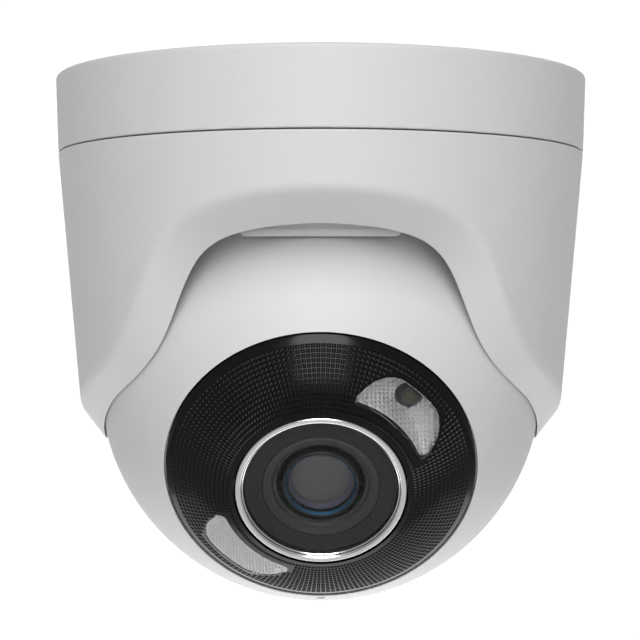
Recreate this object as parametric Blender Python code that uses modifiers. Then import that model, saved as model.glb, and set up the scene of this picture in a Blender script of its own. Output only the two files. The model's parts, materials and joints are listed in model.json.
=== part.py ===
"""Dome security camera: a ball that turns in a round ceiling housing.

Metres, +Z up. The origin is the centre of the face that meets the ceiling, the housing hangs
below it and the lens looks along -Y, tilted down. Pieces of the ball are placed by an empty at
the ball's centre, whose own +Z is the optical axis and whose own +Y points to the face's top.
Inside the ball, "s" is a distance along that axis from the centre and "a" a distance from it.
"""

import math

import bmesh
import bpy
from mathutils import Matrix, Vector

MM = 0.001
GAP = 0.3 * MM

# Housing
BASE_RADIUS = 55.0 * MM
RIM_RADIUS = 54.47 * MM
SEAM_Z = -15.5 * MM
PLATE = 3.0 * MM
BASE_WALL = 2.5 * MM
COLLAR_WALL = 2.6 * MM
COLLAR_SLOPE = 0.0902
FLANGE = 2.6 * MM
FLANGE_BORE = 46.5 * MM
WALL_RETURN = 6.0 * MM

# Opening of the housing: depths below the ceiling, in millimetres, of its outer and inner edge
# at some azimuths from the front.
OUTER_EDGE = ((0, 26.5), (17.2, 27.8), (27.2, 30.7), (34.1, 34.9), (38.1, 40.1), (42.2, 47.0),
              (48.6, 53.9), (59.5, 59.3), (76.8, 65.1), (92, 68.8), (110, 69.0), (180, 69.0))
INNER_EDGE = ((0, 32.6), (17.2, 33.9), (27.1, 36.7), (32.6, 41.6), (37.6, 49.8), (44.5, 57.8),
              (55.6, 63.7), (70, 68.7), (82, 73.9), (92, 74.9), (110, 74.9), (180, 74.9))

# Ring that carries the housing under the base
PAN_RING_OUTER = 49.0 * MM
PAN_RING_BORE = 37.5 * MM
PAN_RING_THICK = 2.0 * MM

# Frame that holds the ball down, with the straight tab that shows at the front
FRAME_TOP = -28.0 * MM
FRAME_THICK = 2.0 * MM
FRAME_OUTER = 45.6 * MM
FRAME_BORE = 33.3 * MM
FRAME_SCREWS = (25, 155)
FRAME_EAR = 3.0 * MM
TAB_HALF = 15.4 * MM
TAB_FRONT = 38.6 * MM
TAB_BACK = 36.95 * MM
TAB_LOW = -34.5 * MM
TAB_RIB = 1.5 * MM
TAB_STEP = 0.5 * MM
LOCK_SCREW_Z = -58.0 * MM

# Ball
BALL_Z = -62.4 * MM
BALL_RADIUS = 45.9 * MM
SHELL_INSIDE = 43.4 * MM
SEAT_RADIUS = 46.3 * MM
REST_TILT = 29.4
SHELL_SPLIT = 0.9 * MM

# Face
FACE_RADIUS = 30.05 * MM
FACE_DOME = 45.6 * MM
FACE_THICK = 1.7 * MM
BEZEL_RADIUS = 16.6 * MM
GLASS_RADIUS = 14.6 * MM
BEZEL_BORE = 14.9 * MM
BARREL_RADIUS = 7.57 * MM
LAMP_ANGLES = {"upper": 45.0, "lower": -135.0}
LAMP_INNER = 19.45 * MM
LAMP_OUTER = 26.6 * MM
LAMP_SPAN = 24.0
LAMP_CENTRE = 23.3 * MM
LAMP_POST = 3.4 * MM
MIC_ANGLE = 44.4

# Stack along the optical axis
LED_BOARD_TOP = 30.3 * MM
SENSOR_BOARD_TOP = 14.5 * MM
MAIN_BOARD_TOP = -12.4 * MM
BOARD = 1.6 * MM
STANDOFFS = ((-19 * MM, 13 * MM), (19 * MM, 13 * MM), (13 * MM, -12 * MM))
MOUNT_SIZE = (25.0 * MM, 16.0 * MM)
MOUNT_LOW = SENSOR_BOARD_TOP + GAP
MOUNT_HIGH = 20.2 * MM
FILTER_LOW = 16.6 * MM
FILTER_SIZE = (13.4 * MM, 10.0 * MM, 1.0 * MM)
FILTER_TRAVEL = 6.4 * MM
BUTTON_TRAVEL = 0.5 * MM

# Fasteners and bores
THIRDS = (90, 210, 330)
POST_CIRCLE = 41.5 * MM
POST_RADIUS = 3.5 * MM
CEILING_HOLE_CIRCLE = 33.0 * MM
CEILING_HOLE = 2.4 * MM
CABLE_HOLE = 10.0 * MM
CABLE_HOLE_Y = 24.0 * MM
SHELL_SCREW_CIRCLE = 39.6 * MM
SCREW_SEAT = -17.0 * MM
FRAME_SCREW_CIRCLE = 47.0 * MM

# Hatch over the memory card, at its angle from the optical axis
HATCH_ANGLE = 110.0
HATCH_SEAT = (20.0 * MM, 14.0 * MM)
HATCH_WAY = (14.0 * MM, 10.0 * MM)
HATCH_LOW = 44.0 * MM
HATCH_SCREW_X = 8.0 * MM
HATCH_PILOT = 0.7 * MM

# Sides of a turned or round shape

BIG = 40
MEDIUM = 32
SMALL = 16


# ---------------------------------------------------------------- scene and materials

def clear_scene():
    for obj in list(bpy.data.objects):
        bpy.data.objects.remove(obj, do_unlink=True)


def collection(name):
    made = bpy.data.collections.new(name)
    bpy.context.scene.collection.children.link(made)
    return made


def material(name, colour, roughness=0.5, metallic=0.0):
    found = bpy.data.materials.get(name)
    if found:
        return found
    made = bpy.data.materials.new(name)
    made.use_nodes = True
    shader = made.node_tree.nodes["Principled BSDF"]
    shader.inputs["Base Color"].default_value = (*colour, 1.0)
    shader.inputs["Roughness"].default_value = roughness
    shader.inputs["Metallic"].default_value = metallic
    return made


FINISHES = {
    "white_paint": ((0.82, 0.82, 0.81), 0.5, 0.0),
    "black_plastic": ((0.02, 0.02, 0.022), 0.35, 0.0),
    "dark_foam": ((0.05, 0.05, 0.05), 0.8, 0.0),
    "rubber": ((0.03, 0.03, 0.03), 0.8, 0.0),
    "chrome": ((0.75, 0.75, 0.77), 0.12, 1.0),
    "glass": ((0.7, 0.75, 0.8), 0.05, 0.0),
    "clear_plastic": ((0.85, 0.86, 0.86), 0.1, 0.0),
    "silvered": ((0.8, 0.8, 0.8), 0.15, 1.0),
    "steel": ((0.55, 0.55, 0.56), 0.3, 1.0),
    "brass": ((0.7, 0.55, 0.25), 0.3, 1.0),
    "aluminium": ((0.6, 0.6, 0.62), 0.4, 1.0),
    "board_green": ((0.02, 0.18, 0.08), 0.5, 0.0),
    "lamp_yellow": ((0.8, 0.65, 0.2), 0.4, 0.0),
    "filter_red": ((0.25, 0.05, 0.06), 0.1, 0.0),
}


def add(name, mesh, finish, where):
    obj = bpy.data.objects.new(name, mesh)
    mesh.materials.append(material(finish, *FINISHES[finish]))
    where.objects.link(obj)
    return obj


# ---------------------------------------------------------------- shapes

def mesh_from(bm, name):
    bmesh.ops.recalc_face_normals(bm, faces=bm.faces)
    mesh = bpy.data.meshes.new(name)
    bm.to_mesh(mesh)
    bm.free()
    return mesh


def turned_mesh(name, profile, ring):
    """Profile of (radius, height) that runs down its outer side; a ring closes on itself."""
    bm = bmesh.new()
    points = [bm.verts.new((radius, 0.0, height)) for radius, height in profile]
    for first, second in zip(points, points[1:]):
        bm.edges.new((first, second))
    if ring:
        bm.edges.new((points[-1], points[0]))
    mesh = bpy.data.meshes.new(name)
    bm.to_mesh(mesh)
    bm.free()
    return mesh


def turned(name, profile, finish, where, segments=BIG, ring=True):
    obj = add(name, turned_mesh(name, profile, ring), finish, where)
    spin = obj.modifiers.new("Turn", "SCREW")
    spin.steps = segments
    spin.render_steps = segments
    spin.use_merge_vertices = True
    spin.merge_threshold = 0.00001
    spin.use_smooth_shade = True
    return obj


def box_into(bm, size, centre, turn=None):
    place = Matrix.Translation(centre)
    if turn:
        place = place @ turn
    bmesh.ops.create_cube(bm, size=1.0, matrix=place @ Matrix.Diagonal((*size, 1.0)))


def rod_into(bm, radius, start, end, segments=SMALL):
    """A cylinder from start to end."""
    start, end = Vector(start), Vector(end)
    along = end - start
    turn = along.to_track_quat("Z", "Y").to_matrix().to_4x4()
    place = Matrix.Translation((start + end) / 2) @ turn
    bmesh.ops.create_cone(bm, cap_ends=True, segments=segments, radius1=radius, radius2=radius,
                          depth=along.length, matrix=place)


def boxes(name, items, finish, where):
    bm = bmesh.new()
    for size, centre in items:
        box_into(bm, size, centre)
    return add(name, mesh_from(bm, name), finish, where)


def rods(name, items, finish, where, segments=SMALL):
    bm = bmesh.new()
    for radius, start, end in items:
        rod_into(bm, radius, start, end, segments)
    return add(name, mesh_from(bm, name), finish, where)


def prism(name, outline, low, high, finish, where):
    """A flat outline of (x, y) points, extruded from low to high."""
    bm = bmesh.new()
    face = bm.faces.new([bm.verts.new((x, y, low)) for x, y in outline])
    grown = bmesh.ops.extrude_face_region(bm, geom=[face])
    moved = [part for part in grown["geom"] if isinstance(part, bmesh.types.BMVert)]
    bmesh.ops.translate(bm, verts=moved, vec=(0.0, 0.0, high - low))
    return add(name, mesh_from(bm, name), finish, where)


def boolean(obj, other, operation):
    other.hide_render = True
    other.display_type = "WIRE"
    step = obj.modifiers.new(operation.title(), "BOOLEAN")
    step.operation = operation
    step.object = other
    step.solver = "EXACT"


def cut(obj, cutter):
    boolean(obj, cutter, "DIFFERENCE")


def join(obj, other):
    boolean(obj, other, "UNION")


def keep_inside(obj, other):
    boolean(obj, other, "INTERSECT")


def arc(radius, from_angle, to_angle, steps):
    """Points of (a, s) on a sphere about the centre; the angle is measured from the axis."""
    found = []
    for step in range(steps + 1):
        angle = from_angle + (to_angle - from_angle) * step / steps
        found.append((radius * math.sin(angle), radius * math.cos(angle)))
    return found


def sphere_s(radius, a):
    return math.sqrt(radius * radius - a * a)


def polar(radius, degrees):
    angle = math.radians(degrees)
    return radius * math.cos(angle), radius * math.sin(angle)


def at_polar(radius, degrees, height):
    x, y = polar(radius, degrees)
    return x, y, height


# ---------------------------------------------------------------- base

def make_mount_base(parts, tools):
    inner = RIM_RADIUS - BASE_WALL
    profile = [
        (0.0, 0.0),
        (BASE_RADIUS - 0.8 * MM, 0.0),
        (BASE_RADIUS, -0.8 * MM),
        (RIM_RADIUS, SEAM_Z),
        (inner, SEAM_Z),
        (inner + 0.3 * MM, -PLATE),
        (0.0, -PLATE),
    ]
    base = turned("mount_base", profile, "white_paint", parts, 64, ring=False)
    posts = []
    for degrees in THIRDS:
        low = SEAM_Z - FLANGE - GAP
        posts.append((POST_RADIUS, at_polar(POST_CIRCLE, degrees, -PLATE / 2),
                      at_polar(POST_CIRCLE, degrees, low)))
    join(base, rods("base_posts", posts, "white_paint", tools))
    holes = []
    for degrees in (30, 150, 270):
        holes.append((CEILING_HOLE, at_polar(CEILING_HOLE_CIRCLE, degrees, 5 * MM),
                      at_polar(CEILING_HOLE_CIRCLE, degrees, -8 * MM)))
    for degrees in THIRDS:
        holes.append((1.7 * MM, at_polar(POST_CIRCLE, degrees, -8 * MM),
                      at_polar(POST_CIRCLE, degrees, -30 * MM)))
    cut(base, rods("base_holes", holes, "white_paint", tools, 12))
    cable = [(CABLE_HOLE, (0.0, CABLE_HOLE_Y, 5 * MM), (0.0, CABLE_HOLE_Y, -8 * MM))]
    cut(base, rods("cable_hole", cable, "white_paint", tools, 24))


def make_cable_grommet(parts):
    neck = CABLE_HOLE - GAP
    profile = [
        (neck, -0.3 * MM), (neck, -PLATE - GAP), (12.5 * MM, -PLATE - GAP),
        (12.5 * MM, -4.8 * MM), (5.5 * MM, -4.8 * MM), (5.5 * MM, -0.3 * MM),
    ]
    grommet = turned("cable_grommet", profile, "rubber", parts, 24)
    grommet.location.y = CABLE_HOLE_Y


def make_pan_ring(parts, tools):
    top = SEAM_Z - 2 * GAP - FLANGE
    low = top - PAN_RING_THICK
    profile = [(PAN_RING_OUTER, top), (PAN_RING_OUTER, low), (PAN_RING_BORE, low), (PAN_RING_BORE, top)]
    ring = turned("pan_ring", profile, "steel", parts, BIG)
    holes = []
    for count, degrees in enumerate(THIRDS, 1):
        holes.append((1.9 * MM, at_polar(POST_CIRCLE, degrees, top + MM),
                      at_polar(POST_CIRCLE, degrees, low - MM)))
        screw(f"pan_ring_screw_{count}", at_polar(POST_CIRCLE, degrees, low - GAP), 0.0,
              1.4 * MM, 9.0 * MM, parts)
    cut(ring, rods("pan_ring_holes", holes, "steel", tools, 12))


def screw(name, seat, turn, radius, length, where):
    """A screw with its shank along its own +Z from the seat, turned about X, head behind the seat."""
    head_radius = 1.9 * radius
    head_height = 1.1 * radius
    profile = [(0.0, length), (radius, length - radius / 2), (radius, 0.0),
               (head_radius, 0.0), (head_radius, -head_height * 0.6),
               (head_radius * 0.7, -head_height), (0.0, -head_height)]
    made = turned(name, profile, "steel", where, 10, ring=False)
    made.location = seat
    made.rotation_euler = (turn, 0.0, 0.0)
    return made


# ---------------------------------------------------------------- collar

def smooth_at(points, x):
    """Monotone curve through the points."""
    count = len(points)
    slopes = []
    for (x0, y0), (x1, y1) in zip(points, points[1:]):
        slopes.append((y1 - y0) / (x1 - x0))
    tangents = [0.0]
    for before, after in zip(slopes, slopes[1:]):
        tangents.append(0.0 if before * after <= 0 else 2 * before * after / (before + after))
    tangents.append(0.0)
    place = min(max(sum(1 for px, _ in points if px <= x) - 1, 0), count - 2)
    (x0, y0), (x1, y1) = points[place], points[place + 1]
    span = x1 - x0
    t = (x - x0) / span
    rise = (2 * t**3 - 3 * t**2 + 1) * y0 + (3 * t**2 - 2 * t**3) * y1
    lean = (t**3 - 2 * t**2 + t) * tangents[place] + (t**3 - t**2) * tangents[place + 1]
    return rise + lean * span


def collar_outer(z):
    return RIM_RADIUS + COLLAR_SLOPE * (z - SEAM_Z)


def seat_radius(z):
    """Inner edge of the collar: a cylinder above the ball's middle, the ball's seat below it."""
    below = max(0.0, BALL_Z - z)
    return math.sqrt(SEAT_RADIUS**2 - below**2)


def collar_section(degrees):
    """The collar's cross section at an azimuth from the front."""
    outer_z = -smooth_at(OUTER_EDGE, degrees) * MM
    inner_z = -smooth_at(INNER_EDGE, degrees) * MM
    top = SEAM_Z - GAP
    under = top - FLANGE
    return_z = inner_z + WALL_RETURN
    wall_z = return_z + 2.5 * MM
    return [
        (RIM_RADIUS, top),
        (collar_outer(outer_z + 1.2 * MM), outer_z + 1.2 * MM),
        (collar_outer(outer_z) - 0.7 * MM, outer_z - 0.6 * MM),
        (seat_radius(inner_z), inner_z),
        (seat_radius(return_z), return_z),
        (collar_outer(wall_z) - COLLAR_WALL, wall_z),
        (collar_outer(under) - COLLAR_WALL, under),
        (FLANGE_BORE, under),
        (FLANGE_BORE, top),
    ]


def collar_azimuths():
    """Finer steps where the opening's side is steep."""
    half = [0, 6, 12, 17]
    half += [20 + 2.5 * step for step in range(17)]
    half += [65, 70, 76, 82, 88, 94]
    half += [94 + 86 / 11 * step for step in range(1, 12)]
    return half + [-angle for angle in reversed(half[1:-1])]


def make_collar(parts, tools):
    bm = bmesh.new()
    rings = []
    for degrees in collar_azimuths():
        angle = math.radians(degrees)
        section = collar_section(abs(degrees))
        rings.append([bm.verts.new((r * math.sin(angle), -r * math.cos(angle), z))
                      for r, z in section])
    for ring, following in zip(rings, rings[1:] + rings[:1]):
        for index in range(len(ring)):
            after = (index + 1) % len(ring)
            bm.faces.new((ring[index], ring[after], following[after], following[index]))
    collar = add("collar_shell", mesh_from(bm, "collar_shell"), "white_paint", parts)
    bosses = []
    pilots = []
    for degrees in FRAME_SCREWS:
        bosses.append((4.3 * MM, at_polar(FRAME_SCREW_CIRCLE, degrees, FRAME_TOP + 4.8 * MM),
                       at_polar(FRAME_SCREW_CIRCLE, degrees, FRAME_TOP + GAP)))
        pilots.append((1.5 * MM, at_polar(FRAME_SCREW_CIRCLE, degrees, FRAME_TOP + 4.0 * MM),
                       at_polar(FRAME_SCREW_CIRCLE, degrees, -35.0 * MM)))
    join(collar, rods("collar_bosses", bosses, "white_paint", tools, 12))
    pilots.append((1.8 * MM, (0.0, 40 * MM, LOCK_SCREW_Z), (0.0, 60 * MM, LOCK_SCREW_Z)))
    cut(collar, rods("collar_holes", pilots, "white_paint", tools, 12))


def make_clamp_frame(parts, tools):
    """The frame that holds the ball down into the collar; its front edge shows as a straight bar."""
    low = FRAME_TOP - FRAME_THICK
    profile = [(FRAME_OUTER, FRAME_TOP), (FRAME_OUTER, low), (FRAME_BORE, low), (FRAME_BORE, FRAME_TOP)]
    frame = turned("clamp_frame", profile, "white_paint", parts, BIG)
    ears = []
    holes = []
    for count, degrees in enumerate(FRAME_SCREWS, 1):
        x, y = polar(FRAME_SCREW_CIRCLE, degrees)
        ears.append((FRAME_EAR, (x, y, FRAME_TOP), (x, y, low)))
        holes.append((1.6 * MM, (x, y, FRAME_TOP + MM), (x, y, low - MM)))
        screw(f"clamp_screw_{count}", (x, y, low - GAP), 0.0, 1.2 * MM, 6.0 * MM, parts)
    ears_tool = rods("frame_ears", ears, "white_paint", tools, 12)
    join(frame, ears_tool)
    rib_size = (2 * TAB_HALF, TAB_FRONT - TAB_BACK, TAB_RIB)
    rib = boxes("frame_rib", [(rib_size, (0.0, -(TAB_FRONT + TAB_BACK) / 2, TAB_LOW + TAB_RIB / 2))],
                "white_paint", tools)
    web_low = TAB_LOW + TAB_RIB / 2
    web_size = (2 * (TAB_HALF - TAB_STEP), TAB_FRONT - TAB_STEP - TAB_BACK, FRAME_TOP - MM - web_low)
    web_centre = (0.0, -TAB_BACK - web_size[1] / 2, web_low + web_size[2] / 2)
    web = boxes("frame_web", [(web_size, web_centre)], "white_paint", tools)
    join(frame, web)
    join(frame, rib)
    cable_way = [((26 * MM, 30 * MM, 12 * MM), (0.0, 45 * MM, FRAME_TOP))]
    cut(frame, boxes("cable_way", cable_way, "white_paint", tools))
    cut(frame, rods("frame_holes", holes, "white_paint", tools, 12))


def make_lock_screw(parts):
    bm = bmesh.new()
    outer = collar_outer(LOCK_SCREW_Z) - 0.3 * MM
    rod_into(bm, 1.5 * MM, (0.0, 47.6 * MM, LOCK_SCREW_Z), (0.0, outer, LOCK_SCREW_Z), 12)
    add("lock_screw", mesh_from(bm, "lock_screw"), "steel", parts)


# ---------------------------------------------------------------- ball shells

def in_ball(obj, ball):
    obj.parent = ball
    return obj


def shell_bosses(name, low, high, tools, ball):
    items = []
    for degrees in THIRDS:
        items.append((3.4 * MM, at_polar(SHELL_SCREW_CIRCLE, degrees, low),
                      at_polar(SHELL_SCREW_CIRCLE, degrees, high)))
    return in_ball(rods(name, items, "white_paint", tools, 12), ball)


def make_front_shell(parts, tools, ball):
    seat = 30.4 * MM
    ledge = 28.0 * MM
    ledge_low = 30.6 * MM
    outer = arc(BALL_RADIUS, math.asin(seat / BALL_RADIUS), math.acos(SHELL_SPLIT / BALL_RADIUS), 6)
    inner = arc(SHELL_INSIDE, math.acos(SHELL_SPLIT / SHELL_INSIDE),
                math.acos(ledge_low / SHELL_INSIDE), 4)
    profile = outer + inner + [(ledge, ledge_low), (ledge, 32.6 * MM), (seat, 32.6 * MM)]
    shell = in_ball(turned("front_shell", profile, "white_paint", parts), ball)
    join(shell, shell_bosses("front_bosses", SHELL_SPLIT, 12.5 * MM, tools, ball))
    pilots = []
    for degrees in THIRDS:
        pilots.append((1.6 * MM, at_polar(SHELL_SCREW_CIRCLE, degrees, -5 * MM),
                       at_polar(SHELL_SCREW_CIRCLE, degrees, 10 * MM)))
    away = Vector((0.0, -math.sin(math.radians(MIC_ANGLE)), math.cos(math.radians(MIC_ANGLE))))
    pilots.append((1.0 * MM, away * 38 * MM, away * 50 * MM))
    cut(shell, in_ball(rods("front_shell_holes", pilots, "white_paint", tools, 12), ball))


def make_microphone(parts, ball):
    bm = bmesh.new()
    away = Vector((0.0, -math.sin(math.radians(MIC_ANGLE)), math.cos(math.radians(MIC_ANGLE))))
    rod_into(bm, 2.0 * MM, away * 39.5 * MM, away * 41.0 * MM, SMALL)
    in_ball(add("microphone", mesh_from(bm, "microphone"), "aluminium", parts), ball)


def make_rear_shell(parts, tools, ball):
    gland = 6.0 * MM
    outer = arc(BALL_RADIUS, math.acos(-SHELL_SPLIT / BALL_RADIUS),
                math.pi - math.asin(gland / BALL_RADIUS), 7)
    inner = arc(SHELL_INSIDE, math.pi - math.asin(gland / SHELL_INSIDE),
                math.acos(-SHELL_SPLIT / SHELL_INSIDE), 5)
    shell = in_ball(turned("rear_shell", outer + inner, "white_paint", parts), ball)
    bosses = shell_bosses("rear_bosses", -22.0 * MM, -SHELL_SPLIT, tools, ball)
    limit = turned("boss_limit", arc(44.4 * MM, 0.0, math.pi, 20), "white_paint", tools, BIG, False)
    keep_inside(bosses, in_ball(limit, ball))
    join(shell, bosses)
    posts = []
    small_bores = []
    for x, y in STANDOFFS:
        top = MAIN_BOARD_TOP - BOARD - GAP
        posts.append((2.6 * MM, (x, y, top), (x, y, -sphere_s(44.2 * MM, math.hypot(x, y) + 2.0 * MM))))
        small_bores.append((1.3 * MM, (x, y, top + MM), (x, y, top - 5.0 * MM)))
    join(shell, in_ball(rods("board_posts", posts, "white_paint", tools, 12), ball))
    head_bores = []
    for degrees in THIRDS:
        small_bores.append((1.6 * MM, at_polar(SHELL_SCREW_CIRCLE, degrees, 5 * MM),
                            at_polar(SHELL_SCREW_CIRCLE, degrees, SCREW_SEAT - 0.5 * MM)))
        head_bores.append((3.0 * MM, at_polar(SHELL_SCREW_CIRCLE, degrees, SCREW_SEAT),
                           at_polar(SHELL_SCREW_CIRCLE, degrees, -40 * MM)))
    cut(shell, in_ball(rods("rear_small_bores", small_bores, "white_paint", tools, 12), ball))
    cut(shell, in_ball(rods("rear_head_bores", head_bores, "white_paint", tools, 12), ball))
    cut(shell, hatch_block("hatch_way", *HATCH_WAY, 38 * MM, 50 * MM, tools, ball))
    cut(shell, hatch_block("hatch_seat", *HATCH_SEAT, 43.5 * MM, 50 * MM, tools, ball))
    cut(shell, hatch_bores("hatch_pilots", HATCH_PILOT, 40 * MM, tools, ball))


def hatch_turn():
    """Local +Z of the hatch points out of the ball, its +Y towards the face."""
    return Matrix.Rotation(math.radians(HATCH_ANGLE), 4, "X")


def hatch_block(name, width, height, low, high, where, ball, finish="white_paint"):
    bm = bmesh.new()
    box_into(bm, (width, height, high - low), (0.0, 0.0, (low + high) / 2))
    bmesh.ops.transform(bm, matrix=hatch_turn(), verts=bm.verts)
    return in_ball(add(name, mesh_from(bm, name), finish, where), ball)


def hatch_bores(name, radius, low, tools, ball):
    """Two bores for the lid's screws, from a height outwards."""
    bm = bmesh.new()
    for x in (-HATCH_SCREW_X, HATCH_SCREW_X):
        rod_into(bm, radius, (x, 0.0, low), (x, 0.0, 50 * MM), 12)
    bmesh.ops.transform(bm, matrix=hatch_turn(), verts=bm.verts)
    return in_ball(add(name, mesh_from(bm, name), "white_paint", tools), ball)


def make_hatch(parts, tools, ball):
    width, height = (side - 2 * GAP for side in HATCH_SEAT)
    lid = hatch_block("card_hatch", width, height, HATCH_LOW, 50 * MM, parts, ball)
    skin = turned("hatch_skin", arc(BALL_RADIUS, 0.0, math.pi, 30), "white_paint", tools, BIG, False)
    keep_inside(lid, in_ball(skin, ball))
    for count, x in enumerate((-HATCH_SCREW_X, HATCH_SCREW_X), 1):
        seat = hatch_turn() @ Vector((x, 0.0, HATCH_LOW + 0.5 * MM))
        in_ball(screw(f"hatch_screw_{count}", seat, math.radians(HATCH_ANGLE + 180), 0.4 * MM,
                      1.7 * MM, parts), ball)
    cut(lid, hatch_bores("hatch_head_bores", 1.1 * MM, HATCH_LOW + 0.35 * MM, tools, ball))
    cut(lid, hatch_bores("hatch_bores", HATCH_PILOT, 40 * MM, tools, ball))
    seal = hatch_block("hatch_seal", 19.0 * MM, 13.0 * MM, 43.65 * MM, 43.85 * MM, parts, ball, "rubber")
    cut(seal, hatch_block("seal_way", HATCH_WAY[0] - MM, HATCH_WAY[1] - 0.6 * MM, 40 * MM, 48 * MM,
                          tools, ball))
    cut(seal, hatch_bores("seal_bores", HATCH_PILOT, 40 * MM, tools, ball))


def make_shell_seal(parts, ball):
    high = SHELL_SPLIT - GAP
    profile = [(45.7 * MM, high), (45.7 * MM, -high), (43.5 * MM, -high), (43.5 * MM, high)]
    in_ball(turned("shell_seal", profile, "rubber", parts), ball)


def make_shell_screws(parts, ball):
    for count, degrees in enumerate(THIRDS, 1):
        seat = at_polar(SHELL_SCREW_CIRCLE, degrees, SCREW_SEAT - GAP)
        in_ball(screw(f"shell_screw_{count}", seat, 0.0, 1.25 * MM, 25.0 * MM, parts), ball)


def make_cable_gland(parts, ball):
    profile = [
        (8.6 * MM, -40.0 * MM), (8.6 * MM, -42.1 * MM), (5.7 * MM, -42.1 * MM),
        (5.7 * MM, -45.2 * MM), (2.7 * MM, -45.2 * MM), (2.7 * MM, -40.0 * MM),
    ]
    in_ball(turned("cable_gland", profile, "rubber", parts, 24), ball)


# ---------------------------------------------------------------- face

def lamp_outline(centre, grow):
    """The kidney outline of a lamp window: concave inside, convex outside, rounded tips."""
    inner, outer = LAMP_INNER - grow, LAMP_OUTER + grow
    points = [(inner, LAMP_SPAN * (step / 3 - 1)) for step in range(7)]
    points += [(inner + 0.8 * MM, LAMP_SPAN + 2.3)]
    points += [(outer - 3.5 * MM, 22.5), (outer - 1.0 * MM, 17.0)]
    points += [(outer, 12.0), (outer, 0.0), (outer, -12.0)]
    points += [(outer - 1.0 * MM, -17.0), (outer - 3.5 * MM, -22.5)]
    points += [(inner + 0.8 * MM, -LAMP_SPAN - 2.3)]
    found = []
    for radius, spread in points:
        widen = math.degrees(grow / radius) * (spread > 0) - math.degrees(grow / radius) * (spread < 0)
        found.append(polar(radius, centre + spread + widen))
    return found


def dome(name, radius, where, ball, segments=BIG):
    half = arc(radius, 0.0, math.radians(60), 14) + [(0.0, radius * 0.5)]
    return in_ball(turned(name, half, "black_plastic", where, segments, ring=False), ball)


def make_face_cover(parts, tools, ball):
    hole = BEZEL_RADIUS + GAP
    under = FACE_DOME - FACE_THICK
    skirt = 28.6 * MM
    outer = arc(FACE_DOME, math.asin(hole / FACE_DOME), math.asin(FACE_RADIUS / FACE_DOME), 4)
    inner = arc(under, math.asin(skirt / under), math.asin(hole / under), 3)
    profile = outer + [(FACE_RADIUS, 32.9 * MM), (skirt, 32.9 * MM)] + inner
    cover = in_ball(turned("face_cover", profile, "black_plastic", parts), ball)
    for side, angle in LAMP_ANGLES.items():
        hole = prism("lamp_hole_" + side, lamp_outline(angle, 0.0), 30 * MM, 48 * MM,
                     "black_plastic", tools)
        cut(cover, in_ball(hole, ball))


def make_lamp(side, angle, parts, tools, ball):
    window = prism("light_window_" + side, lamp_outline(angle, -GAP), 32 * MM, 48 * MM,
                   "clear_plastic", parts)
    in_ball(window, ball)
    keep_inside(window, dome("window_out_" + side, FACE_DOME, tools, ball))
    cut(window, dome("window_in_" + side, FACE_DOME - FACE_THICK, tools, ball))
    cup = prism("reflector_" + side, lamp_outline(angle, 0.6 * MM), LED_BOARD_TOP + GAP, 46 * MM,
                "silvered", parts)
    in_ball(cup, ball)
    keep_inside(cup, dome("cup_out_" + side, FACE_DOME - FACE_THICK - GAP, tools, ball))
    cut(cup, in_ball(cup_hollow("cup_in_" + side, angle, tools), ball))
    bm = bmesh.new()
    x, y = polar(LAMP_CENTRE, angle)
    turn = Matrix.Rotation(math.radians(angle), 4, "Z")
    box_into(bm, (LAMP_POST, LAMP_POST, 4.4 * MM), (x, y, LED_BOARD_TOP + GAP + 2.2 * MM), turn)
    in_ball(add("led_" + side, mesh_from(bm, "led_" + side), "lamp_yellow", parts), ball)


def cup_hollow(name, angle, where):
    """A bowl: from a round well for the lamp to the window's outline at its mouth."""
    rim = lamp_outline(angle, -0.5 * MM)
    cx, cy = polar(LAMP_CENTRE, angle)
    levels = ((30.0 * MM, 0.0), (33.0 * MM, 0.0), (35.5 * MM, 0.62), (39.0 * MM, 1.0), (47.0 * MM, 1.0))
    bm = bmesh.new()
    rings = []
    for height, blend in levels:
        ring = []
        for x, y in rim:
            away = Vector((x - cx, y - cy))
            round_point = away.normalized() * 2.8 * MM
            point = round_point.lerp(away, blend)
            ring.append(bm.verts.new((cx + point.x, cy + point.y, height)))
        rings.append(ring)
    for ring, following in zip(rings, rings[1:]):
        for index in range(len(ring)):
            after = (index + 1) % len(ring)
            bm.faces.new((ring[index], ring[after], following[after], following[index]))
    bm.faces.new(rings[0])
    bm.faces.new(rings[-1])
    return add(name, mesh_from(bm, name), "silvered", where)


def make_lens_bezel(parts, ball):
    profile = [
        (15.3 * MM, 42.3 * MM), (16.1 * MM, 42.4 * MM), (BEZEL_RADIUS, 42.1 * MM),
        (BEZEL_RADIUS, 39.4 * MM), (18.2 * MM, 39.4 * MM), (18.2 * MM, 38.4 * MM),
        (BEZEL_BORE, 38.4 * MM), (BEZEL_BORE, 41.8 * MM),
    ]
    in_ball(turned("lens_bezel", profile, "chrome", parts, MEDIUM), ball)


def make_window(parts, ball):
    glass = [(0.0, 41.6 * MM), (GLASS_RADIUS, 41.6 * MM), (GLASS_RADIUS, 40.9 * MM), (0.0, 40.9 * MM)]
    in_ball(turned("window_glass", glass, "glass", parts, MEDIUM, ring=False), ball)
    gasket = [(GLASS_RADIUS, 40.6 * MM), (GLASS_RADIUS, 39.9 * MM), (11.3 * MM, 39.9 * MM),
              (11.3 * MM, 40.6 * MM)]
    in_ball(turned("window_gasket", gasket, "dark_foam", parts, MEDIUM), ball)
    baffle = [(11.0 * MM, 40.5 * MM), (11.0 * MM, 39.6 * MM), (14.3 * MM, 39.6 * MM),
              (14.3 * MM, 38.4 * MM), (8.56 * MM, 38.4 * MM), (8.56 * MM, 39.3 * MM)]
    in_ball(turned("light_baffle", baffle, "black_plastic", parts, MEDIUM), ball)


# ---------------------------------------------------------------- lens and electronics

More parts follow.
